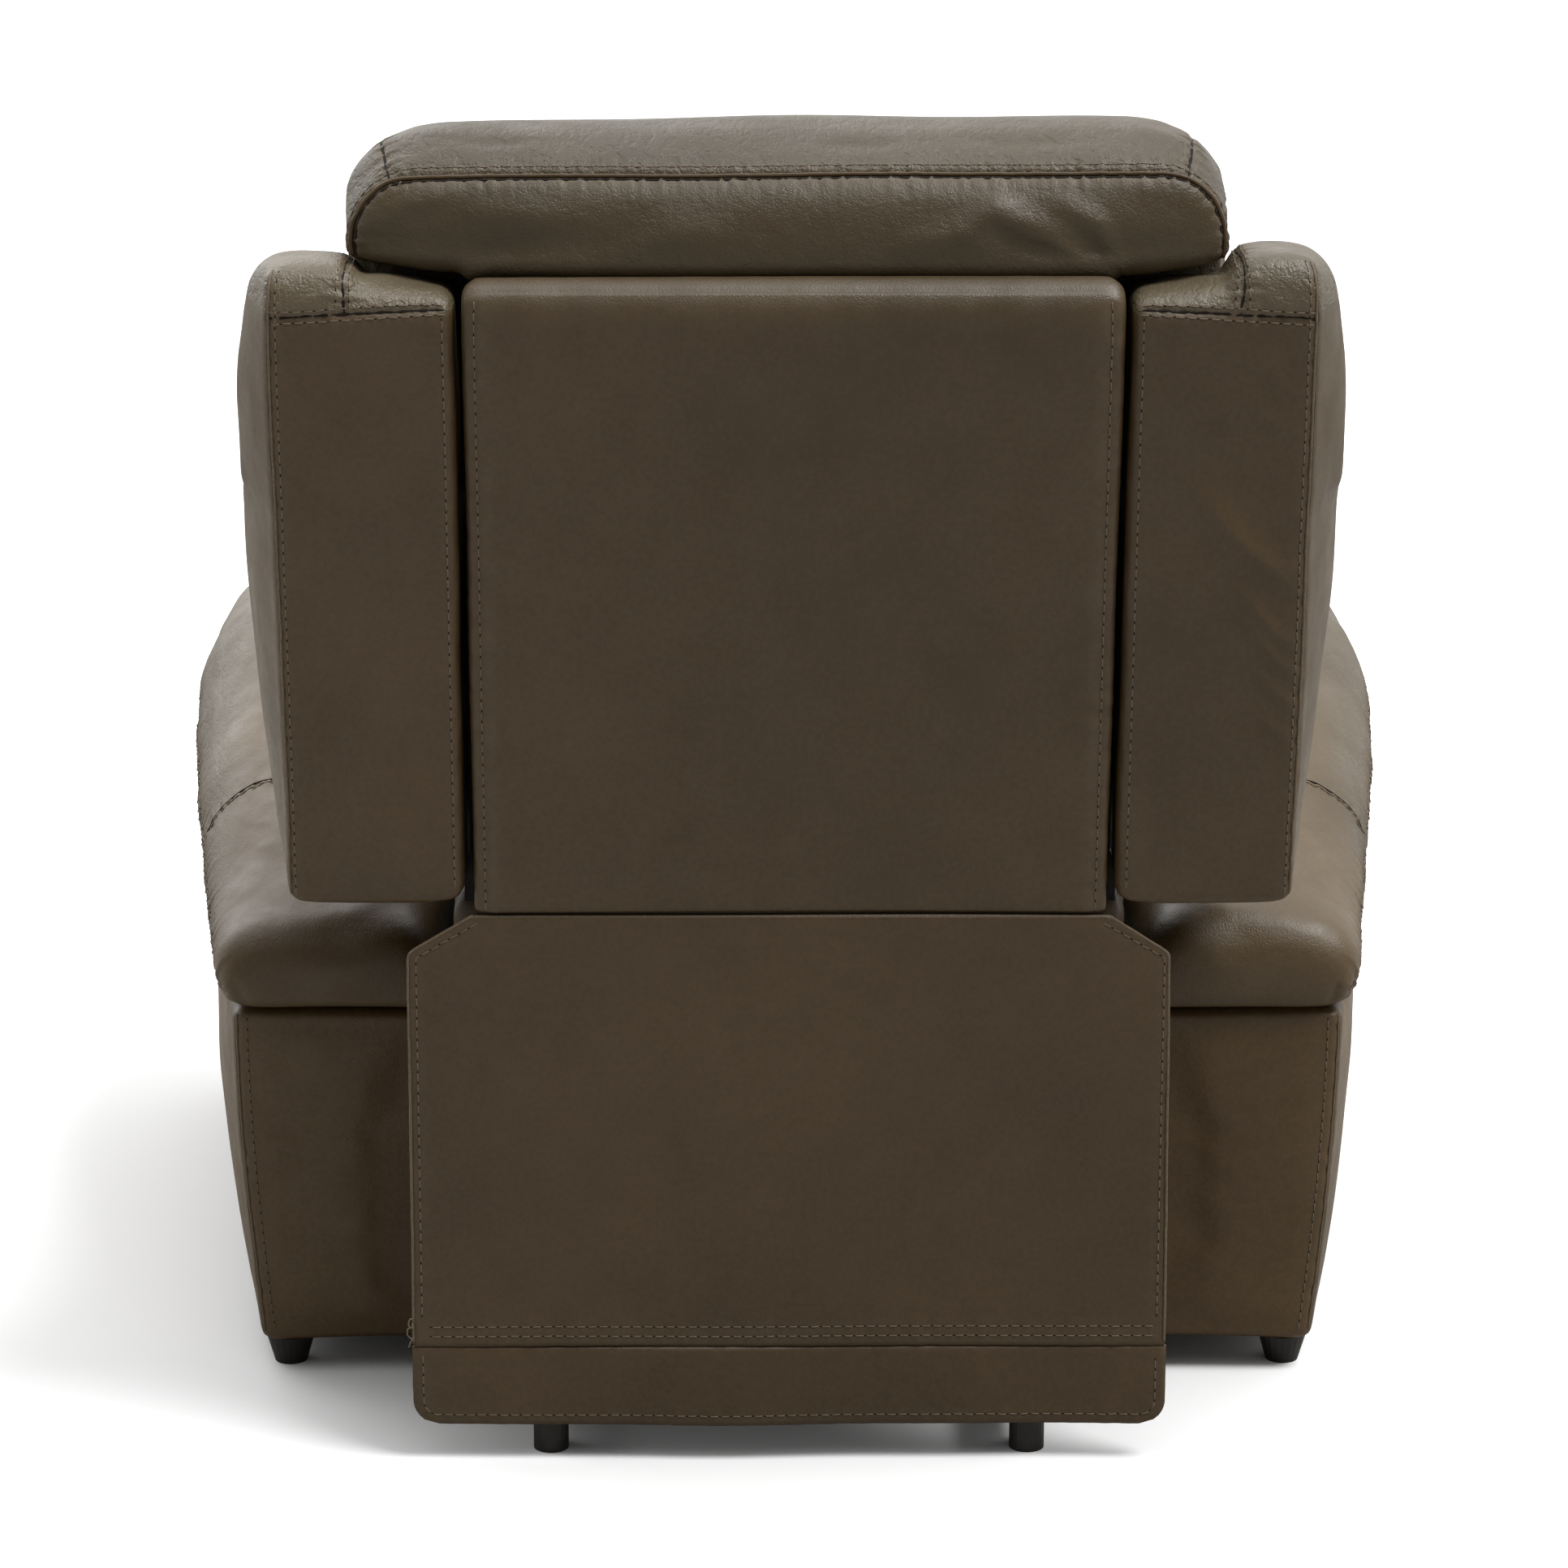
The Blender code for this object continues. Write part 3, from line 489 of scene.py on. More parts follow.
def lofted(name, rings, material):
    """A closed skin over rings with equal numbers of points."""
    count = len(rings[0])
    vertices = [point for ring in rings for point in ring]
    faces = [tuple(range(count))]
    for i in range(len(rings) - 1):
        for j in range(count):
            k = (j + 1) % count
            faces.append((i * count + j, (i + 1) * count + j, (i + 1) * count + k, i * count + k))
    faces.append(tuple(reversed(range((len(rings) - 1) * count, len(rings) * count))))
    piece = new_piece(name, vertices, faces, material)
    volume_sign(piece)
    return piece


def volume_sign(piece):
    """Turns the faces out if they point in."""
    mesh = piece.data
    mesh.calc_loop_triangles()
    corner = np.array([[mesh.vertices[i].co[:] for i in t.vertices] for t in mesh.loop_triangles])
    if (np.cross(corner[:, 0], corner[:, 1]) * corner[:, 2]).sum() < 0:
        mesh.flip_normals()


def apply_modifiers(piece):
    bpy.context.view_layer.update()
    shown = piece.evaluated_get(bpy.context.evaluated_depsgraph_get())
    mesh = bpy.data.meshes.new_from_object(shown)
    mesh.name = piece.name
    piece.modifiers.clear()
    piece.data = mesh
    mesh.shade_smooth()


def remeshed(piece, voxel, smooth=6):
    step = piece.modifiers.new("even_mesh", "REMESH")
    step.mode = "VOXEL"
    step.voxel_size = voxel
    if smooth:
        ease = piece.modifiers.new("eased", "SMOOTH")
        ease.iterations = smooth
        ease.factor = 0.5
    apply_modifiers(piece)


def places(piece):
    values = np.empty(len(piece.data.vertices) * 3, np.float32)
    piece.data.vertices.foreach_get("co", values)
    return values.reshape(-1, 3).astype(float)


def set_places(piece, points):
    piece.data.vertices.foreach_set("co", points.astype(np.float32).ravel())
    piece.data.update()


def outward(piece):
    values = np.empty(len(piece.data.vertices) * 3, np.float32)
    piece.data.vertex_normals.foreach_get("vector", values)
    return values.reshape(-1, 3).astype(float)


def stuffed(piece, cap, held=(), pressure=5.0, ease=None):
    """Swells the cover by cloth simulation, held back along its seams, by no more than cap.

    The cloth is a coarser copy of the cover, and the cover follows it. ease gives each point's share
    of the swelling."""
    coarse = bpy.data.objects.new("coarse_cover", piece.data.copy())
    scene.collection.objects.link(coarse)
    remeshed(coarse, 0.011, 1)
    before = places(coarse)
    cloth = coarse.modifiers.new("stuffing", "CLOTH")
    cloth.settings.use_pressure = True
    cloth.settings.uniform_pressure_force = pressure
    cloth.settings.effector_weights.gravity = 0.0
    cloth.settings.quality = 4
    cloth.collision_settings.use_self_collision = False
    if held:
        group = coarse.vertex_groups.new(name="held")
        gap = np.min([nearest(before, line)[0] for line in held], axis=0)
        for index in np.flatnonzero(gap < 0.009):
            group.add([int(index)], 1.0, "REPLACE")
        cloth.settings.vertex_group_mass = "held"
    cloth.point_cache.frame_start = 1
    cloth.point_cache.frame_end = 16
    for number in range(1, 17):
        scene.frame_set(number)
    apply_modifiers(coarse)
    scene.frame_set(1)
    move = places(coarse) - before
    length = np.linalg.norm(move, axis=1)
    move *= (cap * np.tanh(length / cap) / np.maximum(length, 1e-9))[:, None]
    bpy.data.objects.remove(coarse)
    tree = KDTree(len(before))
    for index, point in enumerate(before):
        tree.insert(Vector(point), index)
    tree.balance()
    fine = places(piece)
    shift = np.zeros_like(fine)
    for index, point in enumerate(fine):
        found = tree.find_n(Vector(point), 5)
        shares = np.array([1.0 / (distance + 0.002) for _, _, distance in found])
        shift[index] = (shares[:, None] * move[[which for _, which, _ in found]]).sum(axis=0) / shares.sum()
    if held:
        gap = np.min([nearest(fine, line)[0] for line in held], axis=0)
        shift *= (1 - 0.8 * np.exp(-(gap / 0.007) ** 2))[:, None]
    if ease:
        shift *= ease(fine)[:, None]
    set_places(piece, fine + shift)


def subdivided(piece, levels=1):
    step = piece.modifiers.new("finer", "SUBSURF")
    step.levels = levels
    step.render_levels = levels
    apply_modifiers(piece)


def relief(piece, grooves=(), puckers=(), folds=(), rolling=(0.16, 0.0008), painted_light_share=None, crown=None):
    """Sinks the seams, gathers the leather beside them and raises folds, along the surface's normals.

    grooves are (line, width, depth), puckers (line, reach, pitch, height), and folds (points, width,
    height). The share function gives where the painted highlight colour goes, and crown an extra outward push."""
    points, normals = places(piece), outward(piece)
    push = rolling[1] * swell(points, rolling[0])
    paler_beside_seams = np.zeros(len(points))
    for line, width, depth in grooves:
        gap = nearest(points, line)[0]
        push -= depth * np.exp(-(gap / width) ** 2)
        # paler along the raised leather beside a deep seam, for the leather's colour
        paler_beside_seams = np.maximum(paler_beside_seams, np.exp(-((gap - 1.4 * width) / (1.6 * width)) ** 2) * min(depth / 0.002, 1))
    for line, reach, pitch, height in puckers:
        gap, along, _ = nearest(points, line)
        beat = np.sin(2 * pi * along / pitch + 1.5 * np.sin(along / pitch))
        beat *= 0.65 + 0.35 * np.sin(along / pitch * 1.3)
        beat += 0.5 * np.sin(2 * pi * along / (0.57 * pitch) + 2.0)
        push += height * beat * np.exp(-(gap / reach) ** 2)
    for line, width, height in folds:
        gap, along, whole = nearest(points, line)
        fade = np.sin(pi * np.clip(along / whole, 0.02, 0.98)) ** 0.7
        push += height * fade * np.exp(-(gap / width) ** 2)
    if crown:
        push += crown(points)
    set_places(piece, points + normals * push[:, None])
    # painted light: the share of the painted highlight colour at each point
    shade = painted_light_share(points, normals) if painted_light_share else np.zeros(len(points))
    for name, values in (("paler_beside_seams", paler_beside_seams), ("painted_light_share", shade)):
        store = piece.data.attributes.new(name, "FLOAT", "POINT")
        store.data.foreach_set("value", np.asarray(values, np.float32))


SHADE = shade_finish()


def surface_of(piece):
    mesh = piece.data
    corners = [tuple(v.co) for v in mesh.vertices]
    return BVHTree.FromPolygons(corners, [tuple(p.vertices) for p in mesh.polygons])


SKINS = {}


def laid_on(piece, line):
    """A line's nearest points on a piece's surface, with the surface's normals there."""
    if piece.name not in SKINS:
        SKINS[piece.name] = surface_of(piece)
    found = [SKINS[piece.name].find_nearest(Vector(point)) for point in line]
    return np.array([f[0][:] for f in found]), np.array([f[1][:] for f in found])


def swept(centres, normals, radii, sides, flat=1.0):
    """Rings round a line that lies on a surface; radii has one value for each point."""
    ahead = np.gradient(centres, axis=0)
    ahead /= np.maximum(np.linalg.norm(ahead, axis=1), 1e-9)[:, None]
    across = np.cross(ahead, normals)
    across /= np.maximum(np.linalg.norm(across, axis=1), 1e-9)[:, None]
    up = np.cross(across, ahead)
    rings = []
    for centre, side_way, up_way, radius in zip(centres, across, up, radii):
        rings.append([centre + radius * (cos(a) * side_way + flat * sin(a) * up_way)
                      for a in (2 * pi * i / sides for i in range(sides))])
    return rings


def tube_faces(first, rings, sides):
    faces = [tuple(first + i for i in reversed(range(sides)))]
    for ring in range(rings - 1):
        for i in range(sides):
            j = (i + 1) % sides
            a, b = first + ring * sides, first + (ring + 1) * sides
            faces.append((a + i, a + j, b + j, b + i))
    faces.append(tuple(first + (rings - 1) * sides + i for i in range(sides)))
    return faces


def stitching(name, body, runs, material, pitch=0.0088, length=0.0068, radius=0.00048):
    """Rows of single threads with a dark blob of painted shade for the needle hole between each two; runs are
    (line, piece) pairs.
    """
    sides = 6
    vertices, faces, dark = [], [], []
    for line, piece in runs:
        centres, normals = laid_on(piece, spaced(line, 0.002))
        reach = np.concatenate(([0.0], np.cumsum(np.linalg.norm(np.diff(centres, axis=0), axis=1))))
        for start in np.arange(0.001, reach[-1] - length, pitch):
            at = start + length * np.array((0.0, 0.12, 0.35, 0.65, 0.88, 1.0))
            lift = radius * np.array((-1.2, 0.2, 0.7, 0.7, 0.2, -1.2))
            middle = np.stack([np.interp(at, reach, centres[:, i]) for i in range(3)], axis=1)
            facing = np.stack([np.interp(at, reach, normals[:, i]) for i in range(3)], axis=1)
            radii = radius * np.array((0.6, 0.95, 1.0, 1.0, 0.95, 0.6))
            faces += tube_faces(len(vertices), 6, sides)
            for ring in swept(middle + facing * lift[:, None], facing, radii, sides):
                vertices += ring
            # painted shade: a short dark blob in the seam-shade material, up to the next stitch, stands in for
            # the shadow in the needle hole
            at = start + length - 0.0002 + (pitch - length + 0.0004) * np.array((0.0, 0.3, 0.7, 1.0))
            middle = np.stack([np.interp(at, reach, centres[:, i]) for i in range(3)], axis=1)
            facing = np.stack([np.interp(at, reach, normals[:, i]) for i in range(3)], axis=1)
            dark += range(len(faces), len(faces) + 2 + 3 * sides)
            faces += tube_faces(len(vertices), 4, sides)
            for ring in swept(middle, facing, radius * np.array((0.5, 1.1, 1.1, 0.5)), sides, 0.35):
                vertices += ring
    piece = new_piece(name, vertices, faces, material)
    piece.data.materials.append(SHADE)
    for index in dark:
        piece.data.polygons[index].material_index = 1
    finish_piece(piece, body)


def ridge(name, body, runs, material, radius=0.0012, lift=0.3, flat=1.0):
    """Raised panel edges or piping along lines on a surface, and sunk cords of painted shade in seams; runs are
    (line, piece) pairs.
    """
    sides = 8
    vertices, faces = [], []
    for line, piece in runs:
        centres, normals = laid_on(piece, spaced(line, 0.003))
        for _ in range(3):
            centres[1:-1] = (centres[:-2] + 2 * centres[1:-1] + centres[2:]) / 4
            normals[1:-1] = (normals[:-2] + 2 * normals[1:-1] + normals[2:]) / 4
        radii = np.full(len(centres), radius)
        radii[0] = radii[-1] = radius * 0.4
        faces += tube_faces(len(vertices), len(centres), sides)
        for ring in swept(centres + normals * radius * lift, normals, radii, sides, flat):
            vertices += ring
    finish_piece(new_piece(name, vertices, faces, material), body)


def finish_piece(piece, body, nodes=()):
    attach(piece, body)
    if nodes:
        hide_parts(*nodes)


def band_between(values, low, high, soft):
    """1 where values lie between low and high, fading to 0 over soft."""
    return np.clip((values - low) / soft + 0.5, 0, 1) * np.clip((high - values) / soft + 0.5, 0, 1)


# ---------------------------------------------------------------- the leaning back
panel_low, panel_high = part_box("outer_back_panel")
flap_low, flap_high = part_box("rear_flap")
BACK_LEAN = 0.1315
HINGE_Y = flap_high[1]
HINGE_Z = flap_high[2]


def rear_face(z):
    """The rear face of the leaning back at one height."""
    return HINGE_Y + (z - HINGE_Z) * BACK_LEAN


def outer_back_panel(leather, thread):
    half, bottom, top = panel_high[0], panel_low[2], panel_high[2]
    thickness = [(bottom, 0.014), (0.90, 0.026), (top, 0.032)]
    roll = 0.034
    rings = []
    for z in stations(bottom, top, near=roll):
        side = drawn_in(z, top, 0.012)
        rear = rear_face(z) - drawn_in(z, top, roll) * 0.80
        front = rear_face(z) - read(thickness, z)
        x = half - side
        outline = fillet([(x, rear, 0.010), (x, front, 0.006), (-x, front, 0.006), (-x, rear, 0.010)])
        rings.append(level_ring(outline, z))
    piece = lofted("outer_back_leather", rings, leather)
    remeshed(piece, 0.0045, 3)
    subdivided(piece)
    hem = half - 0.010
    heights = np.linspace(bottom, top - 0.012, 12)
    columns = [[(side * hem, rear_face(z), z) for z in heights] for side in (1, -1)]
    roll_line = across(half, 12, rear_face(top - roll), top - roll)
    folds = [([(0.15, rear_face(0.93), 0.93), (-0.18, rear_face(0.928), 0.928)], 0.010, 0.0006)]
    # painted highlight: the top roll gets 0.35 of the highlight colour, where light from above falls on it
    relief(piece, grooves=gathers(columns, 0.004, 0.0010),
           puckers=gathers(columns, 0.012, 0.028, 0.00045) + [(roll_line, 0.03, 0.07, 0.0005)],
           folds=folds, rolling=(0.20, 0.0011),
           painted_light_share=lambda p, n: 0.35 * band_between(p[:, 2], top - roll * 0.8, top + 0.05, 0.02),
           crown=lambda p: 0.0022 * np.clip(1 - (p[:, 0] / half) ** 2, 0, 1)
           * np.clip((p[:, 2] - bottom) / 0.05, 0, 1) * (p[:, 1] > rear_face(p[:, 2]) - 0.009))
    finish_piece(piece, "back", nodes=["outer_back_panel"])
    stitching("outer_back_stitches", "back", on(piece, columns), thread)


def wing(hand, side, leather, thread, edge):
    low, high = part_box(f"wing_{hand}")
    inner = min(abs(low[0]), abs(high[0]))
    outer_most = max(abs(low[0]), abs(high[0]))
    bottom, top = low[2], high[2]
    shoulder = 0.785
    narrower = 0.003
    outer = [(bottom, outer_most - 0.025), (0.60, outer_most - 0.006), (0.72, outer_most),
             (0.85, outer_most), (top, outer_most - 0.014)]
    front = [(bottom, low[1] + 0.025), (0.52, low[1] + 0.004), (0.70, low[1] + 0.004),
             (shoulder - 0.045, low[1] + 0.016), (shoulder - 0.016, low[1] + 0.060), (shoulder, 0.398),
             (0.82, 0.402), (top, 0.420)]
    seam_x = 0.390 - narrower
    rings = []
    for z in stations(bottom, top, near=0.036, step=0.010):
        far = read(outer, z) - narrower - drawn_in(z, top, 0.026) - drawn_in(z, bottom, 0.010)
        near = inner + drawn_in(z, top, 0.014) + drawn_in(z, bottom, 0.012)
        rear = rear_face(z) - 0.85 * drawn_in(z, top, 0.036) - drawn_in(z, bottom, 0.005)
        ahead = read(front, z) + drawn_in(z, top, 0.012) + drawn_in(z, bottom, 0.030)
        depth = rear - ahead
        edge_x = min(seam_x, far - 0.010) - 0.4 * drawn_in(z, bottom, 0.008)
        front_round = 0.006 if z > shoulder - 0.01 else min(0.035, 0.3 * depth)
        outline = fillet([(near, rear, 0.010), (edge_x, rear, 0.005),
                          (far - 0.004, rear - min(0.075, 0.55 * depth), 0.05),
                          (far, rear - min(0.15, 0.72 * depth), 0.05),
                          (far - 0.012, ahead, min(0.055, 0.4 * depth)), (near, ahead, front_round)])
        rings.append(level_ring(outline, z, side))
    piece = lofted(f"wing_{hand}_leather", rings, leather)
    remeshed(piece, 0.005, 4)
    cap_outer, cap_inner, split_x = 0.927, 0.935, 0.330
    cap_rise = [(inner, -0.016), (split_x - 0.012, -0.010), (split_x + 0.004, 0.0020 if side > 0 else 0.0095),
                (0.355, 0.0034 if side > 0 else 0.0125), (outer_most, 0.004 if side > 0 else 0.007)]
    rise_z = 0.915

    def cap_shape(x, z):
        """The outer half of the cap is fuller than the inner half, which lies under the headrest."""
        return z + read(cap_rise, abs(x)) * min(max((z - rise_z) / (top - rise_z), 0.0), 1.2)

    shaped = places(piece)
    for index in np.flatnonzero(shaped[:, 2] > rise_z):
        shaped[index, 2] = cap_shape(shaped[index, 0], shaped[index, 2])
    set_places(piece, shaped)

    def on_rear(x, z, back_off=0.0):
        return (side * x, rear_face(z) - back_off, z)

    seam_column = [on_rear(seam_x, z) for z in np.linspace(bottom + 0.006, cap_outer + 0.004, 20)]
    over_cap = [on_rear(seam_x - 0.2 * drawn_in(z, top, 0.03), z, 0.85 * drawn_in(z, top, 0.036))
                for z in np.linspace(cap_outer + 0.004, top - 0.002, 8)]
    rear_edge = seam_column + [(x, y, cap_shape(x, z)) for x, y, z in over_cap]
    cap_seam = [on_rear(inner + 0.002, cap_inner, 0.002), on_rear(seam_x, cap_outer, 0.001)]
    split = [on_rear(split_x, z, 0.85 * drawn_in(z, top, 0.036)) for z in np.linspace(0.931, top - 0.001, 8)]
    split += [(side * split_x, y, top) for y in np.linspace(0.480, 0.425, 5)]
    split = [(x, y, cap_shape(x, z)) for x, y, z in split]
    inner_edge = [on_rear(inner + 0.002, z) for z in np.linspace(bottom + 0.012, cap_inner, 12)]
    bottom_edge = [on_rear(x, bottom + 0.004) for x in np.linspace(inner + 0.012, seam_x - 0.004, 8)]
    front_high = shoulder - 0.03
    side_x = side * (outer_most - 0.010 - narrower)
    side_seam = [(side_x, 0.300, bottom + 0.02), (side_x, 0.288, 0.60), (side_x, 0.286, 0.70),
                 (side_x, 0.305, front_high), (side_x, 0.400, shoulder + 0.004)]
    stuffed(piece, 0.006, held=[rear_edge, inner_edge, bottom_edge, cap_seam, side_seam])
    shaped = places(piece)
    shaped[:, 0] = side * np.maximum(side * shaped[:, 0], inner + 0.0002)
    set_places(piece, shaped)
    subdivided(piece)
    folds = []
    if side < 0:
        folds += [([on_rear(0.300, 0.800), on_rear(0.335, 0.755), on_rear(0.378, 0.720)], 0.009, 0.0052),
                  ([on_rear(0.325, 0.735), on_rear(0.362, 0.685), on_rear(0.382, 0.672)], 0.006, 0.0036),
                  ([on_rear(0.335, 0.705), on_rear(0.366, 0.660), on_rear(0.384, 0.650)], 0.005, 0.0028),
                  ([on_rear(0.345, 0.660), on_rear(0.384, 0.618)], 0.005, 0.0024),
                  ([on_rear(0.348, 0.625), on_rear(0.384, 0.590)], 0.005, 0.0019),
                  ([on_rear(0.335, 0.905), on_rear(0.360, 0.880), on_rear(0.381, 0.868)], 0.006, 0.0012),
                  ([on_rear(0.330, 0.880), on_rear(0.352, 0.850), on_rear(0.380, 0.836)], 0.007, 0.0013)]
    flank = [(side * 0.41, 0.43, 0.90), (side * 0.42, 0.40, 0.80), (side * 0.42, 0.38, 0.66)]
    folds += [([on_rear(split_x + 0.012, 0.945, 0.006), on_rear(split_x + 0.040, 0.934)], 0.004, 0.0010),
              ([on_rear(split_x - 0.010, 0.948, 0.006), on_rear(split_x - 0.045, 0.940)], 0.004, 0.0007),
              (flank, 0.016, 0.0014)]

    # painted light: the highlight colour on the top cap, a little less on its outer half, and a quarter of it
    # on faces turned outward to the side
    def painted_olive(p, n):
        on_cap = band_between(p[:, 2], 0.931, 2.0, 0.003)
        return on_cap * np.where(side * p[:, 0] > split_x, 0.9, 1.0) + 0.25 * (side * n[:, 0] > 0.6)

    relief(piece,
           grooves=[(rear_edge, 0.0035, 0.0010), (cap_seam, 0.0024, 0.0024), (split, 0.0024, 0.0026),
                    (inner_edge, 0.003, 0.0005), (side_seam, 0.0035, 0.0022)],
           puckers=[(rear_edge, 0.010, 0.022, 0.00045), (cap_seam, 0.010, 0.014, 0.0005),
                    (split, 0.014, 0.012, 0.0008), (side_seam, 0.016, 0.02, 0.0007)],
           folds=folds, rolling=(0.11, 0.0010), painted_light_share=painted_olive)
    finish_piece(piece, "back", nodes=[f"wing_{hand}"])

    rows = [shifted(rear_edge, side * -0.0065), shifted(inner_edge, side * 0.006),
            shifted(cap_seam, dz=-0.0045), shifted(cap_seam, dz=0.0045),
            shifted(split, side * 0.0055), shifted(split, side * -0.0045), shifted(side_seam, dy=0.007)]
    stitching(f"wing_{hand}_stitches", "back", on(piece, rows), thread)
    ridge(f"wing_{hand}_edge", "back", [(rear_edge, piece)], edge, radius=0.0011)
    # painted shade: dark cords sunk along the rear edge, the cap seam and the split stand in for the shade in
    # these seams
    painted_shade_lines = [shifted(rear_edge, side * 0.0018), cap_seam, split]
    ridge(f"wing_{hand}_slits", "back", on(piece, painted_shade_lines), SHADE, radius=0.0009, lift=-0.1, flat=0.5)


def headrest(leather, thread):
    low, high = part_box("headrest_cushion")
    bottom, top = low[2], high[2] - 0.005
    ledge = 0.961
    middle_low = 0.948
    half_table = [(low[1], 0.320), (0.21, 0.334), (0.30, 0.339), (0.42, 0.3430), (0.45, 0.338),
                  (0.470, 0.3295), (0.4775, 0.318)]
    sloped = 0.0035
    top_table = [(low[1], 0.985), (0.21, 1.012), (0.27, 1.033), (0.33, 1.047), (0.385, top - 0.002),
                 (0.42, top - 0.0015), (0.445, 1.047), (0.470, 1.0285), (0.4775, 1.018)]
    bottom_table = [(low[1], 0.850), (0.185, 0.822), (0.21, bottom), (0.30, bottom)]

    def leaning(outline, x, y):
        """The outline at one depth: the right side is narrower, and the left end of the top is lower."""
        return [(a * (1.0 if a > 0 else 0.978), y, b - sloped * max(a, 0) / x * (b > 0.98)) for a, b in outline]

    rings = []
    depths = list(np.linspace(low[1], 0.19, 6)) + list(np.arange(0.205, 0.394, 0.015))
    depths += [0.3945, 0.3985] + list(np.linspace(0.405, 0.4775, 14))
    for y in depths:
        x, z = read(half_table, y), read(top_table, y)
        round_top = 0.075 if y < 0.45 else 0.075 - (y - 0.45) * 1.3
        behind = y > 0.396
        base = ledge if behind else read(bottom_table, y)
        lowest = middle_low if behind else base
        notch = 0.242
        outline = fillet([(x, z, round_top), (x, base, 0.010 if behind else 0.035), (notch, base, 0.001),
                          (notch, lowest, 0.002), (-notch, lowest, 0.002), (-notch, base, 0.001),
                          (-x, base, 0.010 if behind else 0.035), (-x, z, round_top)])
        rings.append(leaning(outline, x, y))
    piece = lofted("headrest_leather", rings, leather)
    remeshed(piece, 0.005, 3)

    def loop(y, x, z_top, z_low, radius):
        """A line up one side, over the top and down the other, in a plane of constant y."""
        outline = fillet([(x, z_low, 0.001), (x, z_top, radius), (-x, z_top, radius), (-x, z_low, 0.001)], 8)
        return leaning(outline, x, y)[4:-4]

    welt = loop(0.4705, 0.3285, 1.0285, ledge + 0.002, 0.046)
    crest = loop(0.330, 0.335, 1.046, 0.86, 0.062)
    corner_left = [(0.300, 0.470, 1.026), (0.308, 0.42, 1.044), (0.310, 0.34, 1.034)]
    corner_right = [(-x * 0.978, y, z) for x, y, z in corner_left]
    channel = across(0.31, 20, low[1], 0.925)
    front_loop = loop(0.192, 0.322, 1.000, 0.84, 0.05)
    stuffed(piece, 0.010, held=[welt, crest, channel, corner_left, corner_right, front_loop],
            ease=lambda p: np.clip((p[:, 2] - 0.835) / 0.04, 0.0, 1))
    subdivided(piece)
    folds = [([(-0.115, 0.478, 0.985), (-0.150, 0.480, 1.000), (-0.190, 0.478, 0.985), (-0.215, 0.478, 0.962)],
              0.010, 0.0062),
             ([(-0.070, 0.478, 0.975), (-0.120, 0.480, 0.984), (-0.160, 0.478, 0.975)], 0.012, 0.0042),
             ([(-0.190, 0.478, 1.010), (-0.225, 0.480, 0.992), (-0.240, 0.478, 0.968)], 0.008, 0.0038),
             ([(0.315, 0.476, 0.985), (0.285, 0.478, 1.005), (0.245, 0.478, 1.012)], 0.008, 0.0022),
             ([(0.26, 0.478, 1.004), (0.15, 0.480, 0.992)], 0.010, 0.0018),
             ([(0.130, 0.478, 0.970), (0.090, 0.480, 0.985), (0.040, 0.478, 0.984)], 0.012, 0.0034),
             ([(0.265, 0.43, 1.046), (0.235, 0.44, 1.040), (0.190, 0.44, 1.046)], 0.006, -0.0020),
             ([(-0.02, 0.44, 1.045), (-0.05, 0.44, 1.040), (-0.085, 0.44, 1.046)], 0.008, -0.0022),
             ([(-0.12, 0.43, 1.050), (-0.16, 0.44, 1.042), (-0.22, 0.44, 1.046)], 0.008, -0.0018)]

    # painted light: the highlight colour on the top gusset, and 0.7 of it on the rear face
    def painted_olive(p, n):
        gusset = band_between(p[:, 1], 0.330, 0.4705, 0.003)
        return gusset * (p[:, 2] > 0.9) + 0.7 * band_between(p[:, 1], 0.4705, 1.0, 0.003)

    def full(p):
        """The rear face is fullest low down, so most of it looks up a little."""
        height = np.where(p[:, 2] > 0.962, (p[:, 2] - 0.962) / 0.066, (0.962 - p[:, 2]) / 0.018)
        inside = np.clip(1 - np.abs(height) ** 1.35, 0, 1) * np.clip(1 - (p[:, 0] / 0.325) ** 6, 0, 1)
        return 0.011 * inside * band_between(p[:, 1], 0.468, 1.0, 0.006)

    relief(piece,
           grooves=[(welt, 0.0030, 0.0028), (crest, 0.003, 0.0020), (channel, 0.006, 0.006),
                    (corner_left, 0.0025, 0.002), (corner_right, 0.0025, 0.002), (front_loop, 0.003, 0.002)],
           puckers=[(welt, 0.014, 0.013, 0.0007), (crest, 0.016, 0.011, 0.0009),
                    (channel, 0.030, 0.024, 0.0016),
                    (corner_left, 0.012, 0.010, 0.0011), (corner_right, 0.012, 0.010, 0.0011),
                    (front_loop, 0.016, 0.018, 0.0009)],
           folds=folds, rolling=(0.09, 0.0016), painted_light_share=painted_olive, crown=full)
    finish_piece(piece, "headrest", nodes=["headrest_cushion"])

    def forward(line, shift):
        return [(x, y + shift, z + 0.4 * abs(shift)) for x, y, z in line]

    rows = [forward(welt, -0.008), forward(crest, 0.007), forward(crest, -0.007),
            shifted(channel, dz=0.006), shifted(channel, dz=-0.006), forward(front_loop, 0.007)]
    stitching("headrest_stitches", "headrest", on(piece, rows), thread)
    ridge("headrest_welt", "headrest", [(welt, piece)], leather, radius=0.0016, lift=0.9)
    # painted shadow: a dark cord just under the welt; painted shade: dark cords sunk in the crest, corner and
    # channel seams
    under = [(x * 0.994, y + 0.003, z - 0.0022) for x, y, z in welt]
    painted_shade_lines = [under, crest, corner_left, corner_right, channel]
    ridge("headrest_slits", "headrest", on(piece, painted_shade_lines), SHADE, radius=0.0011, lift=-0.1, flat=0.5)


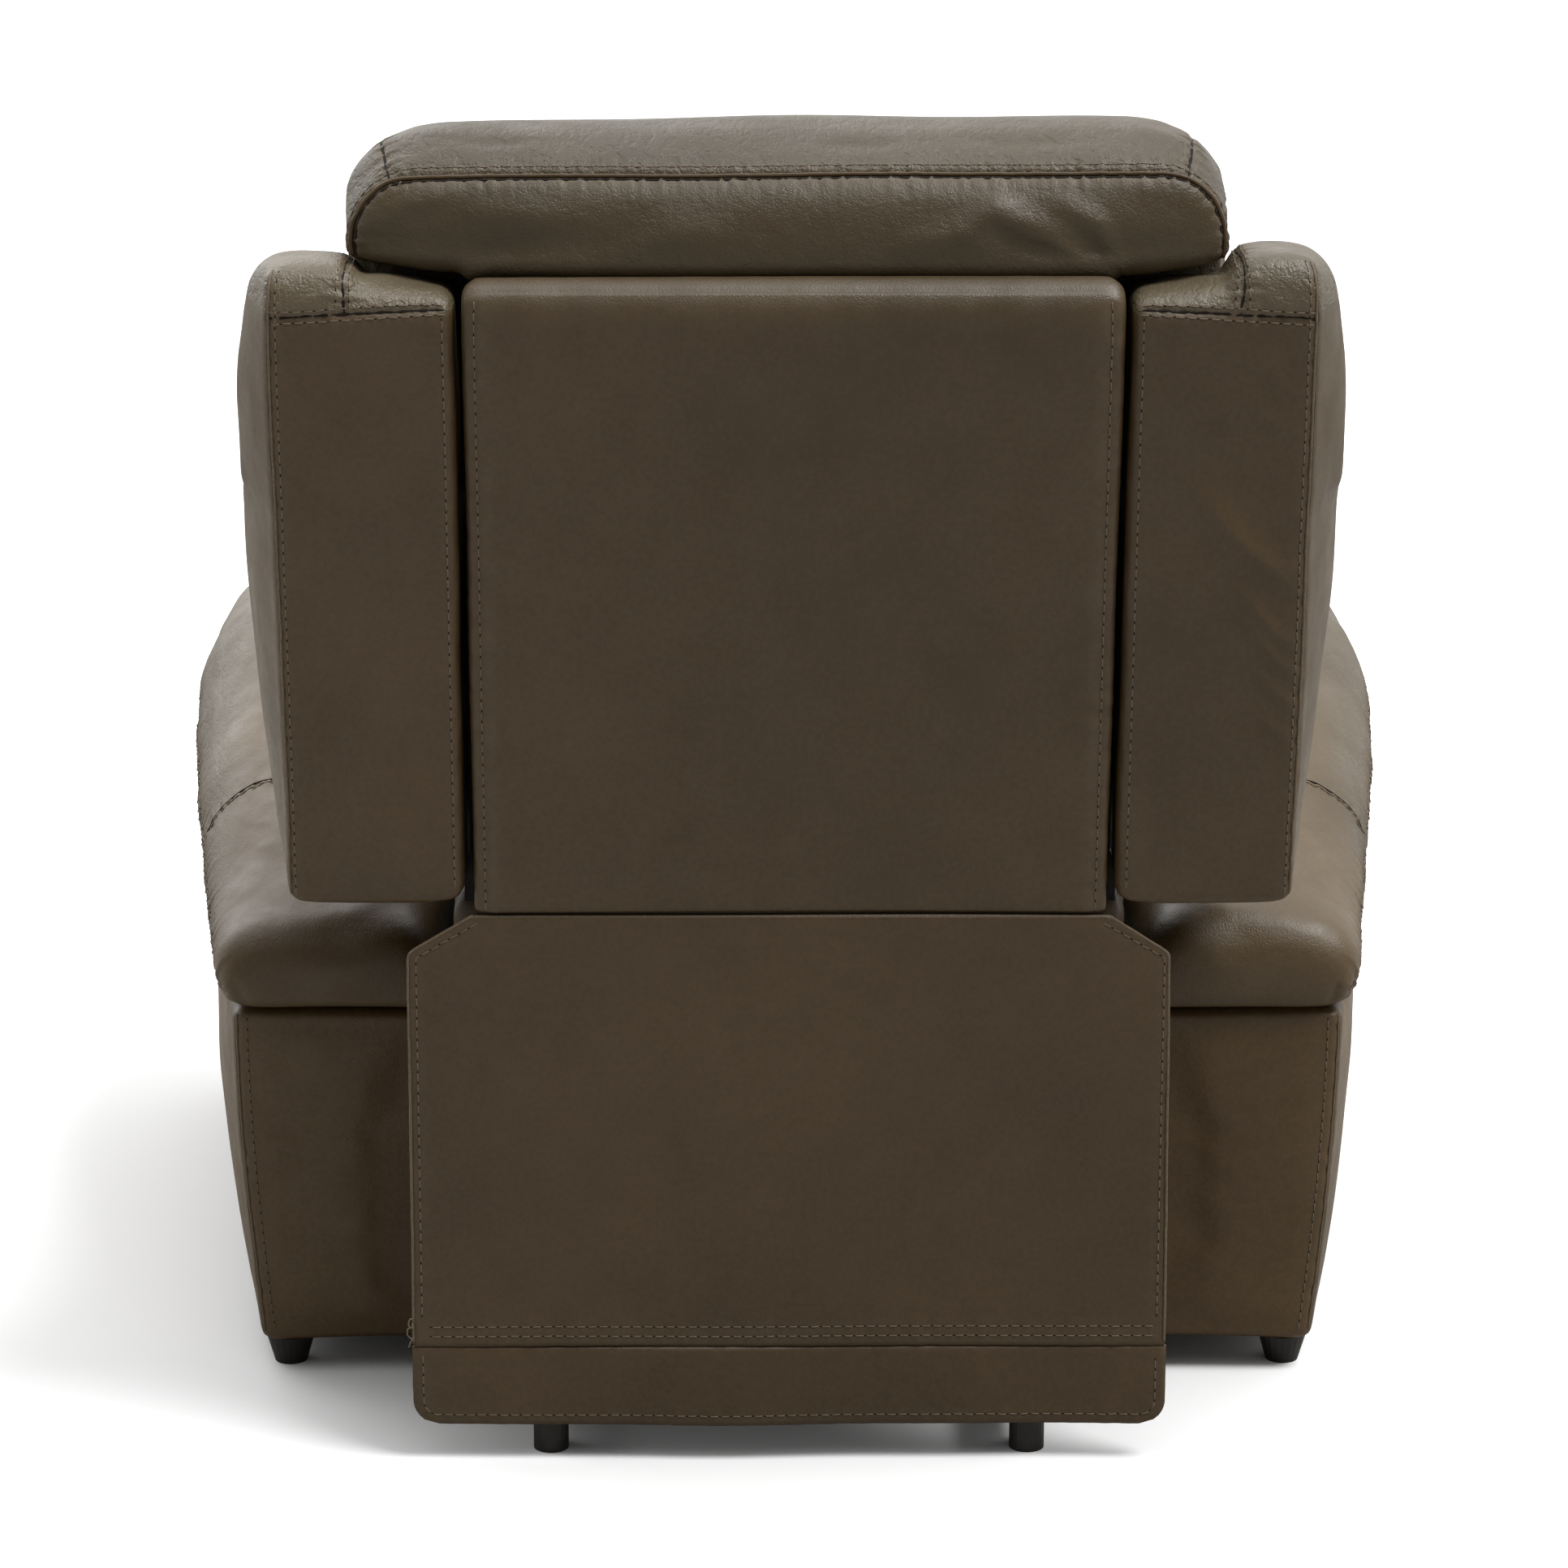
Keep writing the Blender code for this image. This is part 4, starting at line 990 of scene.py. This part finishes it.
# ---------------------------------------------------------------- arms
def pocketed(cover):
    """Lets the control panel into the arm, with room behind it for the buttons' travel."""
    low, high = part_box("control_panel")
    points = places(cover)
    rim = 0.0015
    inside = ((points[:, 0] > low[0] - rim) & (points[:, 1] > low[1] - rim) & (points[:, 1] < high[1] + rim)
              & (points[:, 2] > low[2] - rim) & (points[:, 2] < high[2] + rim))
    points[inside, 0] = low[0] - rim
    set_places(cover, points)


def arm(hand, side, leather, thread, edge):
    body_low, body_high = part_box(f"arm_body_{hand}")
    pad_low, pad_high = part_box(f"arm_pad_{hand}")
    inner = min(abs(body_low[0]), abs(body_high[0]))
    pad_inner = min(abs(pad_low[0]), abs(pad_high[0]))
    front, rear, floor_gap = body_low[1], body_high[1], body_low[2]
    outer = [(front, 0.498), (-0.45, 0.514), (-0.20, 0.506), (0.0, 0.491), (0.15, 0.476), (rear, 0.4525)]
    taper = [(front, 0.022), (0.15, 0.024), (rear, 0.018)]
    seam_z = [(front, 0.395), (-0.20, 0.375), (0.05, 0.335), (rear, 0.315)]
    gap = 0.0006

    rings = []
    for y in stations(front, rear, near=0.020, step=0.012, near_steps=6):
        far = read(outer, y) - drawn_in(y, front, 0.018) - drawn_in(y, rear, 0.004)
        near = inner + drawn_in(y, front, 0.012) + drawn_in(y, rear, 0.004)
        low_z = floor_gap + drawn_in(y, front, 0.012) + drawn_in(y, rear, 0.004)
        high_z = read(seam_z, y) - gap - drawn_in(y, front, 0.010)
        side_line = []
        for share in (0.25, 0.5, 0.75):
            side_x = far - read(taper, y) * (1 - share) ** 1.8
            side_line.append((side_x, low_z + share * (high_z - low_z), 0.04))
        outline = fillet([(near, low_z, 0.008), (far - read(taper, y), low_z, 0.010), *side_line,
                          (far, high_z, 0.010), (near, high_z, 0.006)])
        rings.append(upright_ring(outline, y, side))
    body = lofted(f"arm_body_{hand}_leather", rings, leather)
    remeshed(body, 0.005, 2)

    def outer_corner(z, y):
        height = (z - floor_gap) / (read(seam_z, y) - floor_gap)
        return read(outer, y) - (1 - height) ** 1.8 * read(taper, y)

    rear_seam = [(side * (outer_corner(z, rear) - 0.002), rear - 0.001, z)
                 for z in np.linspace(floor_gap + 0.01, 0.312, 12)]
    front_seam = [(side * (outer_corner(z, front + 0.016) - 0.004), front + 0.006, z)
                  for z in np.linspace(floor_gap + 0.012, 0.385, 12)]
    low_seam = [(side * (outer_corner(0.05, y) + 0.002), y, 0.048)
                for y in np.linspace(front + 0.02, rear - 0.01, 20)]
    top_seam = [(side * read(outer, y), y, read(seam_z, y)) for y in np.linspace(front, rear, 20)]
    stuffed(body, 0.003, held=[rear_seam, front_seam, low_seam, top_seam])
    subdivided(body)
    # painted light: faces turned outward to the side get 0.35 of the highlight colour
    relief(body, grooves=[(rear_seam, 0.0035, 0.0008), (front_seam, 0.0035, 0.0018)],
           puckers=[(rear_seam, 0.010, 0.024, 0.0004), (front_seam, 0.014, 0.02, 0.0007)],
           folds=[([(side * 0.49, y, z) for y, z in ((0.20, 0.28), (0.10, 0.20), (0.02, 0.10))], 0.03, 0.0016)],
           rolling=(0.17, 0.0012), painted_light_share=lambda p, n: 0.35 * (side * n[:, 0] > 0.5))
    finish_piece(body, "base", nodes=[f"arm_body_{hand}"])

    pad_front, pad_rear = pad_low[1], pad_high[1]
    pad_outer = [(pad_front, 0.508), (-0.45, 0.526), (-0.28, 0.5300), (-0.10, 0.518), (0.05, 0.496),
                 (0.15, 0.482), (pad_rear, 0.465)]
    pad_top = [(pad_front, 0.522), (-0.42, 0.546), (-0.28, 0.549), (-0.12, 0.510), (0.05, 0.455),
               (0.16, 0.411), (pad_rear, 0.384)]
    outer_round = [(pad_front, 0.13), (-0.20, 0.13), (0.05, 0.080), (pad_rear, 0.050)]

    def base_z(y):
        return read(seam_z, min(max(y, front), rear))

    rings = []
    for y in stations(pad_front, pad_rear, near=0.060, step=0.012, near_steps=10):
        far = read(pad_outer, y) - drawn_in(y, pad_front, 0.045) - drawn_in(y, pad_rear, 0.022)
        near = pad_inner + drawn_in(y, pad_front, 0.020) + drawn_in(y, pad_rear, 0.010)
        low_z = base_z(y) + gap + drawn_in(y, pad_front, 0.035) + drawn_in(y, pad_rear, 0.012)
        high_z = read(pad_top, y) - drawn_in(y, pad_front, 0.058) - 0.85 * drawn_in(y, pad_rear, 0.030)
        thick = high_z - low_z
        outline = fillet([(near, low_z, 0.012), (far - 0.012, low_z, 0.026),
                          (far, low_z + 0.30 * thick, 0.020), (far - 0.002, high_z, read(outer_round, y)),
                          (near, high_z, 0.035)])
        rings.append(upright_ring(outline, y, side))
    pad = lofted(f"arm_pad_{hand}_leather", rings, leather)
    remeshed(pad, 0.006, 4)
    cross_y = 0.055
    over_z = read(pad_top, cross_y) + 0.004
    over = [(side * x, cross_y, over_z) for x in np.linspace(pad_inner + 0.01, 0.46, 8)]
    over += [(side * 0.486, cross_y, 0.430), (side * 0.498, cross_y, 0.402)]
    along = [(side * (read(pad_outer, y) + 0.004), y, base_z(y) + 0.45 * (read(pad_top, y) - base_z(y)))
             for y in np.linspace(pad_front + 0.05, 0.20, 24)]
    along += [(side * 0.468, 0.245, 0.345), (side * 0.458, 0.272, 0.330)]
    face = upright_ring(fillet([(0.300, 0.415, 0.02), (0.505, 0.415, 0.03), (0.512, 0.520, 0.07),
                                (0.300, 0.528, 0.04)], 6), pad_front + 0.012, side)
    face.append(face[0])
    tuck = [(side * x, pad_rear - 0.002, 0.320) for x in np.linspace(pad_inner + 0.01, 0.455, 8)]
    stuffed(pad, 0.007, held=[over, along, face, tuck])
    subdivided(pad)
    folds = []
    for line, width, height in (
            (((0.40, 0.10, 0.44), (0.44, 0.16, 0.42), (0.45, 0.22, 0.40)), 0.018, 0.0030),
            (((0.30, 0.20, 0.40), (0.36, 0.25, 0.385), (0.42, 0.26, 0.38)), 0.012, 0.0024),
            (((0.44, 0.275, 0.322), (0.449, 0.279, 0.340)), 0.004, -0.0030),
            (((0.52, -0.02, 0.44), (0.50, 0.00, 0.47), (0.46, 0.01, 0.485)), 0.012, 0.0022),
            (((0.53, -0.14, 0.46), (0.51, -0.12, 0.50), (0.47, -0.10, 0.515)), 0.014, 0.0024),
            (((0.53, -0.30, 0.49), (0.50, -0.27, 0.53), (0.45, -0.25, 0.55)), 0.016, 0.0022)):
        folds.append(([(side * x, y, z) for x, y, z in line], width, height))
    # painted light: the whole pad gets 0.30 of the highlight colour, rising to 0.80 on its outer side
    relief(pad, grooves=[(over, 0.003, 0.0030), (along, 0.003, 0.0026), (face, 0.0035, 0.0030)],
           puckers=[(over, 0.014, 0.014, 0.0010), (along, 0.018, 0.013, 0.0013),
                    (face, 0.018, 0.016, 0.0013)],
           folds=folds, rolling=(0.10, 0.0018),
           painted_light_share=lambda p, n: 0.30 + 0.5 * band_between(side * p[:, 0], 0.47, 1.0, 0.03))
    if side < 0:
        for cover in (body, pad):
            pocketed(cover)
    finish_piece(pad, "base", nodes=[f"arm_pad_{hand}"])

    rows_body = [shifted(rear_seam, side * -0.010), shifted(front_seam, dy=0.008)]
    rows_pad = [shifted(over, dy=0.004), shifted(along, dz=0.006), shifted(along, dz=-0.006)]
    stitching(f"arm_{hand}_stitches", "base", on(body, rows_body) + on(pad, rows_pad), thread)
    ridge(f"arm_{hand}_edge", "base", on(body, [rear_seam, front_seam]), edge, radius=0.0010)
    # painted shade: dark cords sunk in the pad's seams and just beside the body's rear seam
    painted_shade_lines = on(pad, [over, along, face]) + [(shifted(rear_seam, side * 0.0018), body)]
    ridge(f"arm_{hand}_slits", "base", painted_shade_lines, SHADE, radius=0.0009, lift=-0.1, flat=0.5)


# ---------------------------------------------------------------- seat, lumbar cushion and footrest
def seat_cushion(leather, thread):
    low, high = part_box("seat_cushion")
    half = high[0]
    top = [(low[1], high[2] - 0.018), (-0.44, high[2] - 0.004), (0.10, high[2] - 0.006),
           (high[1], high[2] - 0.030)]
    rings = []
    for y in stations(low[1] + 0.004, high[1] - 0.002, near=0.050, step=0.014, near_steps=9):
        crest = read(top, y) - drawn_in(y, low[1] + 0.004, 0.048) - drawn_in(y, high[1] - 0.002, 0.016)
        crest -= 0.004
        base = low[2] + 0.001 + drawn_in(y, low[1] + 0.004, 0.018)
        x = half - 0.004 - drawn_in(y, low[1] + 0.004, 0.022) - drawn_in(y, high[1] - 0.002, 0.014)
        outline = fillet([(x, crest, 0.026), (x, base, 0.012), (-x, base, 0.012), (-x, crest, 0.026)])
        rings.append(upright_ring(outline, y))
    piece = lofted("seat_cushion_leather", rings, leather)
    remeshed(piece, 0.007, 4)
    along = np.linspace(low[1] + 0.04, high[1] - 0.02, 20)
    sides = [[(side * (half - 0.006), y, read(top, y) - 0.026) for y in along] for side in (1, -1)]
    cross = across(half - 0.02, 16, -0.385, high[2])
    middle = across(half - 0.02, 16, -0.075, high[2])
    front = across(half - 0.03, 16, low[1] + 0.008, 0.405)
    base = [[(side * (half - 0.02), y, low[2]) for y in np.linspace(low[1], high[1], 20)] for side in (1, -1)]
    stuffed(piece, 0.016, held=sides + [cross, middle, front] + base)
    piece_points = places(piece)
    piece_points[:, 2] = np.maximum(piece_points[:, 2], low[2] + 0.0005)
    set_places(piece, piece_points)
    subdivided(piece)
    relief(piece, grooves=[(cross, 0.006, 0.007), (middle, 0.005, 0.005), (front, 0.004, 0.003)]
           + gathers(sides, 0.003, 0.002),
           puckers=[(cross, 0.035, 0.026, 0.0018), (middle, 0.035, 0.030, 0.0014), (front, 0.02, 0.02, 0.0012)]
           + gathers(sides, 0.025, 0.024, 0.0013), rolling=(0.12, 0.0022))
    finish_piece(piece, "seat", nodes=["seat_cushion"])
    rows = [shifted(line, dy=shift) for line in (cross, middle) for shift in (-0.006, 0.006)]
    rows += [shifted(line, dz=0.007) for line in sides + [front]]
    stitching("seat_stitches", "seat", on(piece, rows), thread)


def back_cushion(leather, thread):
    low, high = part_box("back_cushion")
    half = high[0] - 0.001
    front = [(low[2], 0.162), (0.52, 0.150), (0.60, 0.136), (0.70, 0.138), (0.735, 0.162), (0.762, 0.205),
             (high[2], 0.275)]
    rings = []
    for z in stations(low[2], high[2], near=0.026, step=0.012):
        inset = drawn_in(z, low[2], 0.016) + drawn_in(z, high[2], 0.016)
        x, ahead, behind = half - inset, read(front, z) + inset + 0.004, high[1] - 0.001 - inset
        outline = fillet([(x, ahead, 0.034), (x, behind, 0.012), (-x, behind, 0.012), (-x, ahead, 0.034)])
        rings.append(level_ring(outline, z))
    piece = lofted("back_cushion_leather", rings, leather)
    remeshed(piece, 0.006, 4)
    rolls = [across(half - 0.01, 16, read(front, z), z) for z in (0.572, 0.672, 0.742)]
    sides = [[(side * (half - 0.008), read(front, z) + 0.02, z) for z in np.linspace(0.49, 0.775, 14)]
             for side in (1, -1)]
    stuffed(piece, 0.016, held=rolls + sides, ease=lambda p: np.clip((0.745 - p[:, 2]) / 0.03, 0.0, 1))
    subdivided(piece)
    relief(piece, grooves=gathers(rolls, 0.007, 0.008) + gathers(sides, 0.003, 0.002),
           puckers=gathers(rolls, 0.030, 0.024, 0.0018) + gathers(sides, 0.02, 0.02, 0.001),
           rolling=(0.10, 0.0012))
    finish_piece(piece, "back", nodes=["back_cushion"])
    rows = [shifted(line, dz=shift) for line in rolls for shift in (-0.006, 0.006)]
    stitching("back_cushion_stitches", "back", on(piece, rows), thread)


def footrest_pad(leather, thread):
    low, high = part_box("footrest_pad")
    half = high[0]
    rings = []
    for z in stations(low[2], high[2], near=0.022, step=0.010):
        inset = drawn_in(z, low[2], 0.010) + drawn_in(z, high[2], 0.010)
        x, ahead, behind = half - inset, low[1] + 0.006 + 0.5 * inset, high[1] - 0.0004 - 0.2 * inset
        outline = fillet([(x, ahead, 0.014), (x, behind, 0.004), (-x, behind, 0.004), (-x, ahead, 0.014)])
        rings.append(level_ring(outline, z))
    piece = lofted("footrest_leather", rings, leather)
    remeshed(piece, 0.005, 3)
    middle = (low[2] + high[2]) / 2
    cross = across(half - 0.012, 16, low[1], middle)
    rim_x, rim_low, rim_high = half - 0.012, low[2] + 0.012, high[2] - 0.012
    rim = upright_ring(fillet([(rim_x, rim_low, 0.02), (rim_x, rim_high, 0.02), (-rim_x, rim_high, 0.02),
                               (-rim_x, rim_low, 0.02)], 5), low[1] + 0.008)
    rim.append(rim[0])
    back = [(x, high[1], z) for x in np.linspace(-half, half, 12) for z in (low[2], high[2])]
    stuffed(piece, 0.008, held=[cross, rim, back[::2], back[1::2]])
    points = places(piece)
    points[:, 1] = np.minimum(points[:, 1], high[1] - 0.0003)
    set_places(piece, points)
    subdivided(piece)
    relief(piece, grooves=[(cross, 0.005, 0.005), (rim, 0.003, 0.0015)],
           puckers=[(cross, 0.026, 0.022, 0.0012), (rim, 0.015, 0.018, 0.0006)], rolling=(0.09, 0.0006))
    finish_piece(piece, "footrest", nodes=["footrest_pad"])
    rows = [shifted(cross, dz=shift) for shift in (-0.006, 0.006)] + [rim]
    stitching("footrest_stitches", "footrest", on(piece, rows), thread)


# ---------------------------------------------------------------- hanging flap and its band
def hung_sheet(name, outline, y, thickness, wave, leather, step=0.0035):
    """A leather sheet with the (x, z) outline, filled with a fine grid, its rear face near y."""
    outline = np.array(outline)
    z_low, z_high = outline[:, 1].min(), outline[:, 1].max()
    rows = int((z_high - z_low) / step)
    columns = int((outline[:, 0].max() - outline[:, 0].min()) / step)
    vertices, faces = [], []
    for layer in (0, 1):
        for row in range(rows + 1):
            z = z_low + (z_high - z_low) * row / rows
            cuts = []
            for (xa, za), (xb, zb) in zip(outline, np.roll(outline, -1, axis=0)):
                if min(za, zb) - 1e-9 <= z <= max(za, zb) + 1e-9 and abs(zb - za) > 1e-9:
                    cuts.append(xa + (xb - xa) * (z - za) / (zb - za))
            left, right = min(cuts), max(cuts)
            for column in range(columns + 1):
                x = left + (right - left) * column / columns
                rim = min(x - left, right - x, z - z_low, z_high - z)
                round_off = 0.0008 * max(0.0, 1 - rim / 0.002)
                face_y = y + wave(x, z)
                vertices.append((x, face_y - round_off if layer else face_y - thickness + round_off, z))
    width = columns + 1
    below = (rows + 1) * width
    for row in range(rows):
        for column in range(columns):
            a = row * width + column
            faces.append((a, a + 1, a + width + 1, a + width))
            faces.append((below + a, below + a + width, below + a + width + 1, below + a + 1))
    for column in range(columns):
        last = rows * width
        faces.append((column, below + column, below + column + 1, column + 1))
        faces.append((last + column, last + column + 1, below + last + column + 1, below + last + column))
    for row in range(rows):
        a, b = row * width, row * width + columns
        faces.append((a, a + width, below + a + width, below + a))
        faces.append((b, below + b, below + b + width, b + width))
    piece = new_piece(name, vertices, faces, leather)
    volume_sign(piece)
    return piece


def rear_flap(leather, thread, edge):
    band_low, band_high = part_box("flap_band")
    half, seam_half = flap_high[0], panel_high[0]
    shoulder_z = 0.421
    thickness = 0.0042
    y = flap_high[1] - 0.0002

    def hang(x, z):
        """Slack in the sheet: shallow upright waves that grow away from the top seam."""
        loose = min(1.0, max(0.0, (HINGE_Z - z) / 0.20))
        waves = -0.0014 + 0.0010 * sin(9.0 * x + 0.6) + 0.0007 * sin(23.0 * x + 5.0 * z)
        return loose * waves - 0.0003 * sin(31 * z)

    right = half - 0.003
    outline = [(-half, flap_low[2]), (half, flap_low[2]), (half, shoulder_z), (seam_half, flap_high[2]),
               (-seam_half, flap_high[2]), (-right, shoulder_z)]
    flap = hung_sheet("rear_flap_leather", outline, y, thickness, hang, leather)
    inset = 0.0065
    corners = [(seam_half - 0.004, flap_high[2] - 0.006), (half - inset, shoulder_z - 0.004),
               (half - inset, 0.118)]
    rim = [upright_ring(corners, y, side) for side in (1, -1)]
    doubles = [across(half - 0.008, 30, y, z) for z in (0.105, 0.113)]
    relief(flap, grooves=gathers(rim + doubles, 0.0022, 0.0006),
           puckers=gathers(rim, 0.008, 0.026, 0.00035) + gathers(doubles, 0.010, 0.030, 0.0003),
           folds=[([(0.10, y, 0.13), (0.12, y, 0.17), (0.11, y, 0.24)], 0.018, 0.0008),
                  ([(-0.16, y, 0.12), (-0.13, y, 0.16), (-0.14, y, 0.21)], 0.015, 0.0007)],
           rolling=(0.12, 0.0006))
    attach(flap, "rear_flap")
    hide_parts("rear_flap")

    band_half, corner = band_high[0], 0.020
    bottom = [(band_half - corner + corner * sin(a), band_low[2] + corner - corner * cos(a))
              for a in (radians(step * 10) for step in range(10))]
    shape = bottom + [(band_half, band_high[2])]
    shape += [(-x, z) for x, z in reversed(shape)]

    def sag(x, z):
        low_share = (band_high[2] - z) / (band_high[2] - band_low[2])
        return hang(x, band_high[2]) + low_share * (0.0012 * sin(14 * x + 1.0) + 0.0008 * sin(37 * x))

    band = hung_sheet("flap_band_leather", shape, y - 0.0006, thickness, sag, leather)
    hem = 0.008
    curve = [(band_half - corner + (corner - hem) * cos(a), y, band_low[2] + corner - (corner - hem) * sin(a))
             for a in (radians(step * 15) for step in range(7))]
    half_line = [(band_half - hem, y, band_high[2] - 0.006)] + curve
    row = half_line + [(-x, yy, z) for x, yy, z in reversed(half_line)]
    relief(band, grooves=[(row, 0.0022, 0.0006)], puckers=[(row, 0.008, 0.024, 0.0004)],
           folds=[([(-0.02, y, 0.040), (-0.04, y, 0.062), (-0.05, y, 0.088)], 0.006, 0.0012),
                  ([(-0.13, y, 0.042), (-0.15, y, 0.065), (-0.15, y, 0.088)], 0.006, 0.0010),
                  ([(-0.20, y, 0.045), (-0.22, y, 0.068), (-0.235, y, 0.086)], 0.006, 0.0010)],
           rolling=(0.08, 0.0005))
    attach(band, "flap_band")
    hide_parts("flap_band")
    stitching("rear_flap_stitches", "rear_flap", on(flap, rim + doubles), thread)
    stitching("flap_band_stitches", "flap_band", [(row, band)], thread)
    corners = [(seam_half, flap_high[2]), (half, shoulder_z), (half, flap_low[2] + 0.002)]
    rims = [upright_ring(corners, y - 0.002, side) for side in (1, -1)]
    ridge("rear_flap_edge", "rear_flap", on(flap, rims), edge, radius=0.0012, lift=0.0)
    tape_y = y - thickness - 0.0022
    hinge_tape("flap_top_tape", flap_high[2], seam_half - 0.003, tape_y, leather)
    hinge_tape("flap_fold_tape", band_high[2], band_half - 0.004, tape_y, leather)


def hinge_tape(name, z, reach, y, leather):
    """A strip of leather sewn behind a fold between two panels; it is attached to neither of them."""
    half_height = 0.011
    below, above = z - half_height, z + half_height
    strip = [(-reach, below), (reach, below), (reach, above), (-reach, above)]
    tape = hung_sheet(name, strip, y, 0.0012, lambda x, z: 0.0, leather, step=0.002)
    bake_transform(tape)


def loose_threads(thread):
    """The knotted ends of the hem's thread at one side of the flap."""
    y = flap_high[1] - 0.002
    x, z = flap_high[0], 0.112
    loops = [[(x - 0.002, y, z + 0.006), (x + 0.003, y + 0.001, z + 0.009), (x + 0.005, y + 0.001, z + 0.003),
              (x + 0.002, y + 0.002, z - 0.001), (x + 0.001, y + 0.001, z + 0.004)],
             [(x - 0.001, y, z), (x + 0.005, y + 0.002, z + 0.001), (x + 0.006, y + 0.001, z - 0.006),
              (x + 0.002, y + 0.001, z - 0.009)],
             [(x - 0.001, y, z - 0.006), (x + 0.003, y + 0.002, z - 0.011),
              (x + 0.0045, y + 0.001, z - 0.016)]]
    vertices, faces = [], []
    for loop in loops:
        centres = spaced(loop, 0.0008)
        for _ in range(12):
            centres[1:-1] = (centres[:-2] + 2 * centres[1:-1] + centres[2:]) / 4
        normals = np.tile((0.0, 1.0, 0.0), (len(centres), 1))
        faces += tube_faces(len(vertices), len(centres), 6)
        for ring in swept(centres, normals, np.full(len(centres), 0.0005), 6):
            vertices += ring
    finish_piece(new_piece("hem_thread_ends", vertices, faces, thread), "rear_flap")


def cloth_grid(name, columns, rows, place, material):
    """A single layer of cloth; place gives the point at the shares u across and v along."""
    vertices = [place(column / columns, row / rows)
                for row in range(rows + 1) for column in range(columns + 1)]
    width = columns + 1
    faces = [(r * width + c, r * width + c + 1, (r + 1) * width + c + 1, (r + 1) * width + c)
             for r in range(rows) for c in range(columns)]
    return new_piece(name, vertices, faces, material)


def back_gap_shade_cloth(cambric):
    """Dark cloth stretched over the front of the back's tube frame, between the wings, put there as painted
    shade to make the gap dark.
    """
    cushion_low, cushion_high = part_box("back_cushion")
    wing_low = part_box("wing_left")[0]
    half = wing_low[0] - 0.0006
    tucked = 0.0045
    bottom, top = cushion_low[2] - 0.030, 0.944
    front_y = cushion_high[1] + 0.0022
    step = 0.010

    def place(u, v):
        tug = 0.0011 * sin(pi * u) * sin(pi * v) * (1 + 0.3 * sin(21 * u))
        z = bottom + v * (top - bottom)
        reach = half + (tucked if z > 0.775 or z < 0.480 else 0.0)
        return -reach + 2 * reach * u, front_y + tug, z

    piece = cloth_grid("back_gap_shade_cloth", int(2 * half / step), int((top - bottom) / step), place, cambric)
    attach(piece, "back")


# ---------------------------------------------------------------- dust cloths under the arms
def dust_cloth(hand, cambric):
    low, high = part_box(f"dust_cover_{hand}")
    step = 0.010

    def place(u, v):
        sag = 0.0045 * sin(pi * u) * (0.75 + 0.25 * sin(5 * pi * v)) * min(1.0, 8 * min(v, 1 - v))
        return low[0] + u * (high[0] - low[0]), low[1] + v * (high[1] - low[1]), high[2] - 0.0004 - sag

    columns, rows = int((high[0] - low[0]) / step), int((high[1] - low[1]) / step)
    piece = cloth_grid(f"dust_cloth_{hand}", columns, rows, place, cambric)
    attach(piece, "base")
    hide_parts(f"dust_cover_{hand}")


# ---------------------------------------------------------------- the whole chair
def dress_metalwork():
    finishes = {
        "black_steel": steel_finish("painted_steel", (0.012, 0.012, 0.013), (0.030, 0.030, 0.032), 0.38,
                                    0.25),
        "spring_steel": steel_finish("spring_wire", (0.16, 0.16, 0.17), (0.34, 0.34, 0.35), 0.32, 1.0),
        "black_plastic": plastic_finish("moulded_black", (0.014, 0.013, 0.012), 0.46),
        "button_plastic": plastic_finish("button_grey", (0.090, 0.090, 0.092), 0.34),
        "plywood": plywood_finish(),
    }
    for name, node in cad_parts.items():
        finish = finishes[metal_slot(name)] if metal_slot(name) else None
        if finish:
            for index in range(len(node.material_slots)):
                node.material_slots[index].material = finish


def metal_slot(name):
    if name.endswith("_board"):
        return "plywood"
    if name == "seat_springs":
        return "spring_steel"
    if "button" in name:
        return "button_plastic"
    plastics = ("base_glide", "arm_foot", "control_panel", "power_inlet", "actuator_motor", "actuator_nut")
    if name.startswith(plastics):
        return "black_plastic"
    soft = ("arm_body", "arm_pad", "wing", "outer_back", "back_cushion", "headrest_cushion", "seat_cushion",
            "footrest_pad", "rear_flap", "flap_band", "dust_cover")
    return None if name.startswith(soft) else "black_steel"


def build():
    studio()
    dress_metalwork()
    # painted light: the arms get the same leather with its base colours painted 1.5 times lighter; the headrest
    # gets them 1.1 times lighter, with a darker highlight colour and less gloss
    leather, arm_leather_lit_copy = leather_finish("leather_finish"), leather_finish("arm_leather_finish", 1.5)
    headrest_leather_lit_copy = leather_finish("headrest_leather_finish", 1.1, 0.40, 1.0)
    thread, edge, cambric = thread_finish(), edge_finish(), cambric_finish()
    outer_back_panel(leather, thread)
    for hand, side in HANDS.items():
        wing(hand, side, leather, thread, edge)
        arm(hand, side, arm_leather_lit_copy, thread, edge)
        dust_cloth(hand, cambric)
    headrest(headrest_leather_lit_copy, thread)
    seat_cushion(leather, thread)
    back_cushion(leather, thread)
    footrest_pad(leather, thread)
    rear_flap(leather, thread, edge)
    loose_threads(thread)
    back_gap_shade_cloth(cambric)


build()
